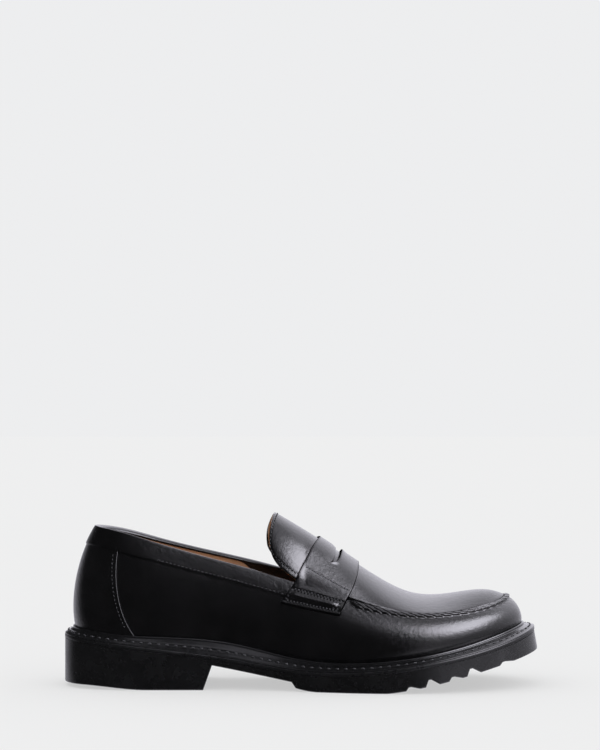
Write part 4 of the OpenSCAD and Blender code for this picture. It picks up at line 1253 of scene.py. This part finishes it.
class Studio(Nodes):
    """Soft studio: an even room for the camera and matt surfaces, and panels that polished
    surfaces mirror, as a photographer's soft boxes round a dark table would."""

    def __init__(self):
        self.world = bpy.data.worlds.new("studio")
        bpy.context.scene.world = self.world
        super().__init__(self.world)
        self.tree.nodes.clear()
        self.way = self.node("ShaderNodeTexCoord").outputs["Generated"]
        self.path = self.node("ShaderNodeLightPath").outputs

    def maths(self, operation, a, b):
        n = self.node("ShaderNodeMath", operation=operation)
        self.feed(n.inputs[0], a)
        self.feed(n.inputs[1], b)
        return n.outputs[0]

    def times(self, value, factor):
        return self.maths("MULTIPLY", value, factor)

    def plus(self, total, *values):
        for extra in values:
            total = self.maths("ADD", total, extra)
        return total

    def ease(self, value, lo, hi):
        return self.ranged(value, lo, hi, curve="SMOOTHSTEP")

    def panel(self, azimuth, height, core, rim, strength):
        """Round soft panel: full within core degrees of its direction, gone at rim degrees."""
        turn, tilt = math.radians(azimuth), math.radians(height)
        dot = self.node("ShaderNodeVectorMath", operation="DOT_PRODUCT")
        self.link(self.way, dot.inputs[0])
        dot.inputs[1].default_value = (math.cos(tilt) * math.sin(turn), -math.cos(tilt) * math.cos(turn),
                                       math.sin(tilt))
        shape = self.ease(dot.outputs["Value"], math.cos(math.radians(rim)), math.cos(math.radians(core)))
        return self.times(shape, strength)

    def mirrored(self):
        """Brightness that polished surfaces mirror: a white room on the toe's side with soft
        boxes in it, and black flags on the heel's side and in front."""
        split = self.node("ShaderNodeSeparateXYZ")
        self.link(self.way, split.inputs[0])
        dx, dy, dz = split.outputs
        times, plus, ease, panel = self.times, self.plus, self.ease, self.panel
        room = plus(0.62, times(ease(dz, -0.3, 0.0), 0.4), times(ease(dz, 0.0, 0.75), 1.35),
                    times(ease(dz, 0.82, 0.92), -1.0), times(ease(times(dz, -1), 0.45, 0.7), 0.9))
        lit_half = times(room, ease(plus(times(dx, 0.966), times(dy, 0.259)), -0.02, 0.14))
        soft_box = self.maths("MAXIMUM", panel(45, 37, 13, 27, 11), panel(66, 45, 9, 22, 10.5))
        glossy = times(plus(lit_half, soft_box, panel(48, 18, 6, 26, 2.4), panel(8, 57, 6, 24, 0.7),
                            panel(-150, -28, 10, 48, 0.7), 0.03), GLOSS_LEVEL)
        return glossy, plus(0.63, times(ease(dz, -0.1, 1.0), 0.5))

    def pick(self, ray, yes, no, kind):
        """One value for a kind of ray, another for the others."""
        n = self.node("ShaderNodeMix", data_type=kind)
        self.link(self.path[ray], n.inputs["Factor"])
        for socket, v in (("A", no), ("B", yes)):
            if isinstance(v, tuple):
                n.inputs[socket].default_value = v
            else:
                self.feed(n.inputs[socket], v)
        return n.outputs["Result"]

    def build(self):
        glossy, sky = self.mirrored()
        level = self.pick("Is Camera Ray", FLOOR_GREY, self.pick("Is Glossy Ray", glossy, sky, "FLOAT"),
                          "FLOAT")
        background = self.node("ShaderNodeBackground")
        self.link(level, background.inputs["Strength"])
        self.link(self.pick("Is Glossy Ray", GLOSS_TINT, ROOM_TINT, "RGBA"), background.inputs["Color"])
        self.link(background.outputs[0], self.node("ShaderNodeOutputWorld").inputs[0])
        self.world.cycles.sampling_method = "NONE"


def floor():
    """Wide pale table top; polished surfaces don't mirror it, as it lies in the dark in front."""
    mesh = bpy.data.meshes.new("table_top")
    n, reach = 41, 6.0
    line = np.linspace(-reach, reach, n)
    gx, gy = np.meshgrid(line, line)
    verts = np.stack([gx, gy, 0 * gx], -1).reshape(-1, 3)
    mesh.from_pydata(verts.tolist(), [], grid_faces(n, n).tolist())
    obj = bpy.data.objects.new("table_top", mesh)
    bpy.context.scene.collection.objects.link(obj)
    look = Look("table_paper", (0.8, 0.8, 0.8), 0.9, Specular_IOR_Level=0.0)
    look.colour(look.noise(6, detail=2), [(0.2, (0.868, 0.868, 0.868)), (0.8, (0.872, 0.872, 0.872))])
    look.glow_for_camera(FLOOR_GREY, FLOOR_GLOW)
    mesh.materials.append(look.mat)
    obj.visible_glossy = False


def camera():
    data = bpy.data.cameras.new("camera")
    data.lens, data.sensor_width = LENS, SENSOR
    cam = bpy.data.objects.new("camera", data)
    cam.location = (CAMERA_OFFSET, -CAMERA_DISTANCE, CAMERA_HEIGHT)
    cam.rotation_euler = (math.radians(90), 0, 0)
    bpy.context.scene.collection.objects.link(cam)
    bpy.context.scene.camera = cam


def repaint(node, material):
    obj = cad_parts[node]
    obj.data.materials.clear()
    obj.data.materials.append(material)


def build():
    calf = polished_leather("black_calf")
    soft_calf = polished_leather("black_calf_soft", grain=1.2, rough=0.18, shine=0.26)
    strap_calf = polished_leather("black_calf_strap", grain=0.9, rough=0.17)
    tan = lining_leather()
    black_thread = waxed_thread("black_waxed_thread", (0.006, 0.006, 0.007), (0.013, 0.013, 0.014))
    grey_thread = waxed_thread("grey_waxed_thread", (0.02, 0.02, 0.022), (0.04, 0.04, 0.044))
    # The strap's thread is the black thread made lighter: a painted sheen for the light its raised
    # stitches catch
    strap_thread_painted_sheen = waxed_thread("black_waxed_thread_strap_painted_sheen", (0.016, 0.016, 0.018), (0.034, 0.034, 0.038))

    piece("outsole_rubber", outsole(), rubber(), "outsole", sharp=24, weld=True)
    piece("midsole_layer", midsole(), midsole_rubber(), "midsole", sharp=50, weld=True)
    piece("welt_strip", welt(), welt_rubber(), "welt")
    piece("sock_lining_leather", sock_lining(), tan, "sock_lining", weld=True)
    # The strap carries its painted edge shade as a mesh attribute
    strap, strap_edge_shade = saddle_strap()
    piece("strap_leather", strap, strap_calf, "saddle_strap", weld=True, painted_edge_shade=strap_edge_shade)
    for node, solid, material in (("vamp", vamp(), calf), ("heel_cover", heel_cover(), calf),
                                  ("apron", apron(), calf), ("collar", collar(), soft_calf)):
        piece(node + "_leather", solid, material, node)
    for node, solid in (("quarter_lining", quarter_lining()), ("vamp_lining", vamp_lining()),
                        ("apron_lining", apron_lining())):
        piece(node + "_leather", solid, tan, node)
    for name, node, solid, material in (
            ("heel_seam_thread", "heel_seam_stitching", heel_seam_stitching(), black_thread),
            ("collar_thread", "collar_stitching", collar_stitching(), black_thread),
            ("apron_thread", "apron_seam_thread", apron_seam_thread(), black_thread),
            ("tongue_thread", "tongue_stitching", tongue_stitching(), black_thread),
            ("strap_thread_painted_sheen", "strap_stitching", strap_stitching(), strap_thread_painted_sheen)):
        piece(name, solid, material, node)
    piece("welt_thread", welt_stitching(), grey_thread, "welt_stitching")

    repaint("cork_filler", speckled("granulated_cork", 500,
                                    [(0.3, (0.16, 0.08, 0.035)), (0.55, (0.36, 0.21, 0.1)),
                                     (0.8, (0.5, 0.32, 0.17))], 0.85, 0.4))
    repaint("insole_board", speckled("fibre_board", 300,
                                     [(0.3, (0.38, 0.28, 0.16)), (0.7, (0.52, 0.4, 0.25))], 0.8, 0.12,
                                     stretch=(0.4, 1, 1)))
    repaint("heel_pad", speckled("latex_foam", 900,
                                 [(0.3, (0.06, 0.12, 0.24)), (0.7, (0.12, 0.2, 0.36))], 0.75, 0.25))
    felt = speckled("stiffener_felt", 700, [(0.3, (0.45, 0.4, 0.31)), (0.7, (0.62, 0.57, 0.47))], 0.9, 0.1)
    repaint("heel_stiffener", felt)
    repaint("toe_puff", felt)
    repaint("shank", shank_steel())


build()
Studio().build()
floor()
camera()
bpy.context.scene.view_settings.view_transform = "Standard"
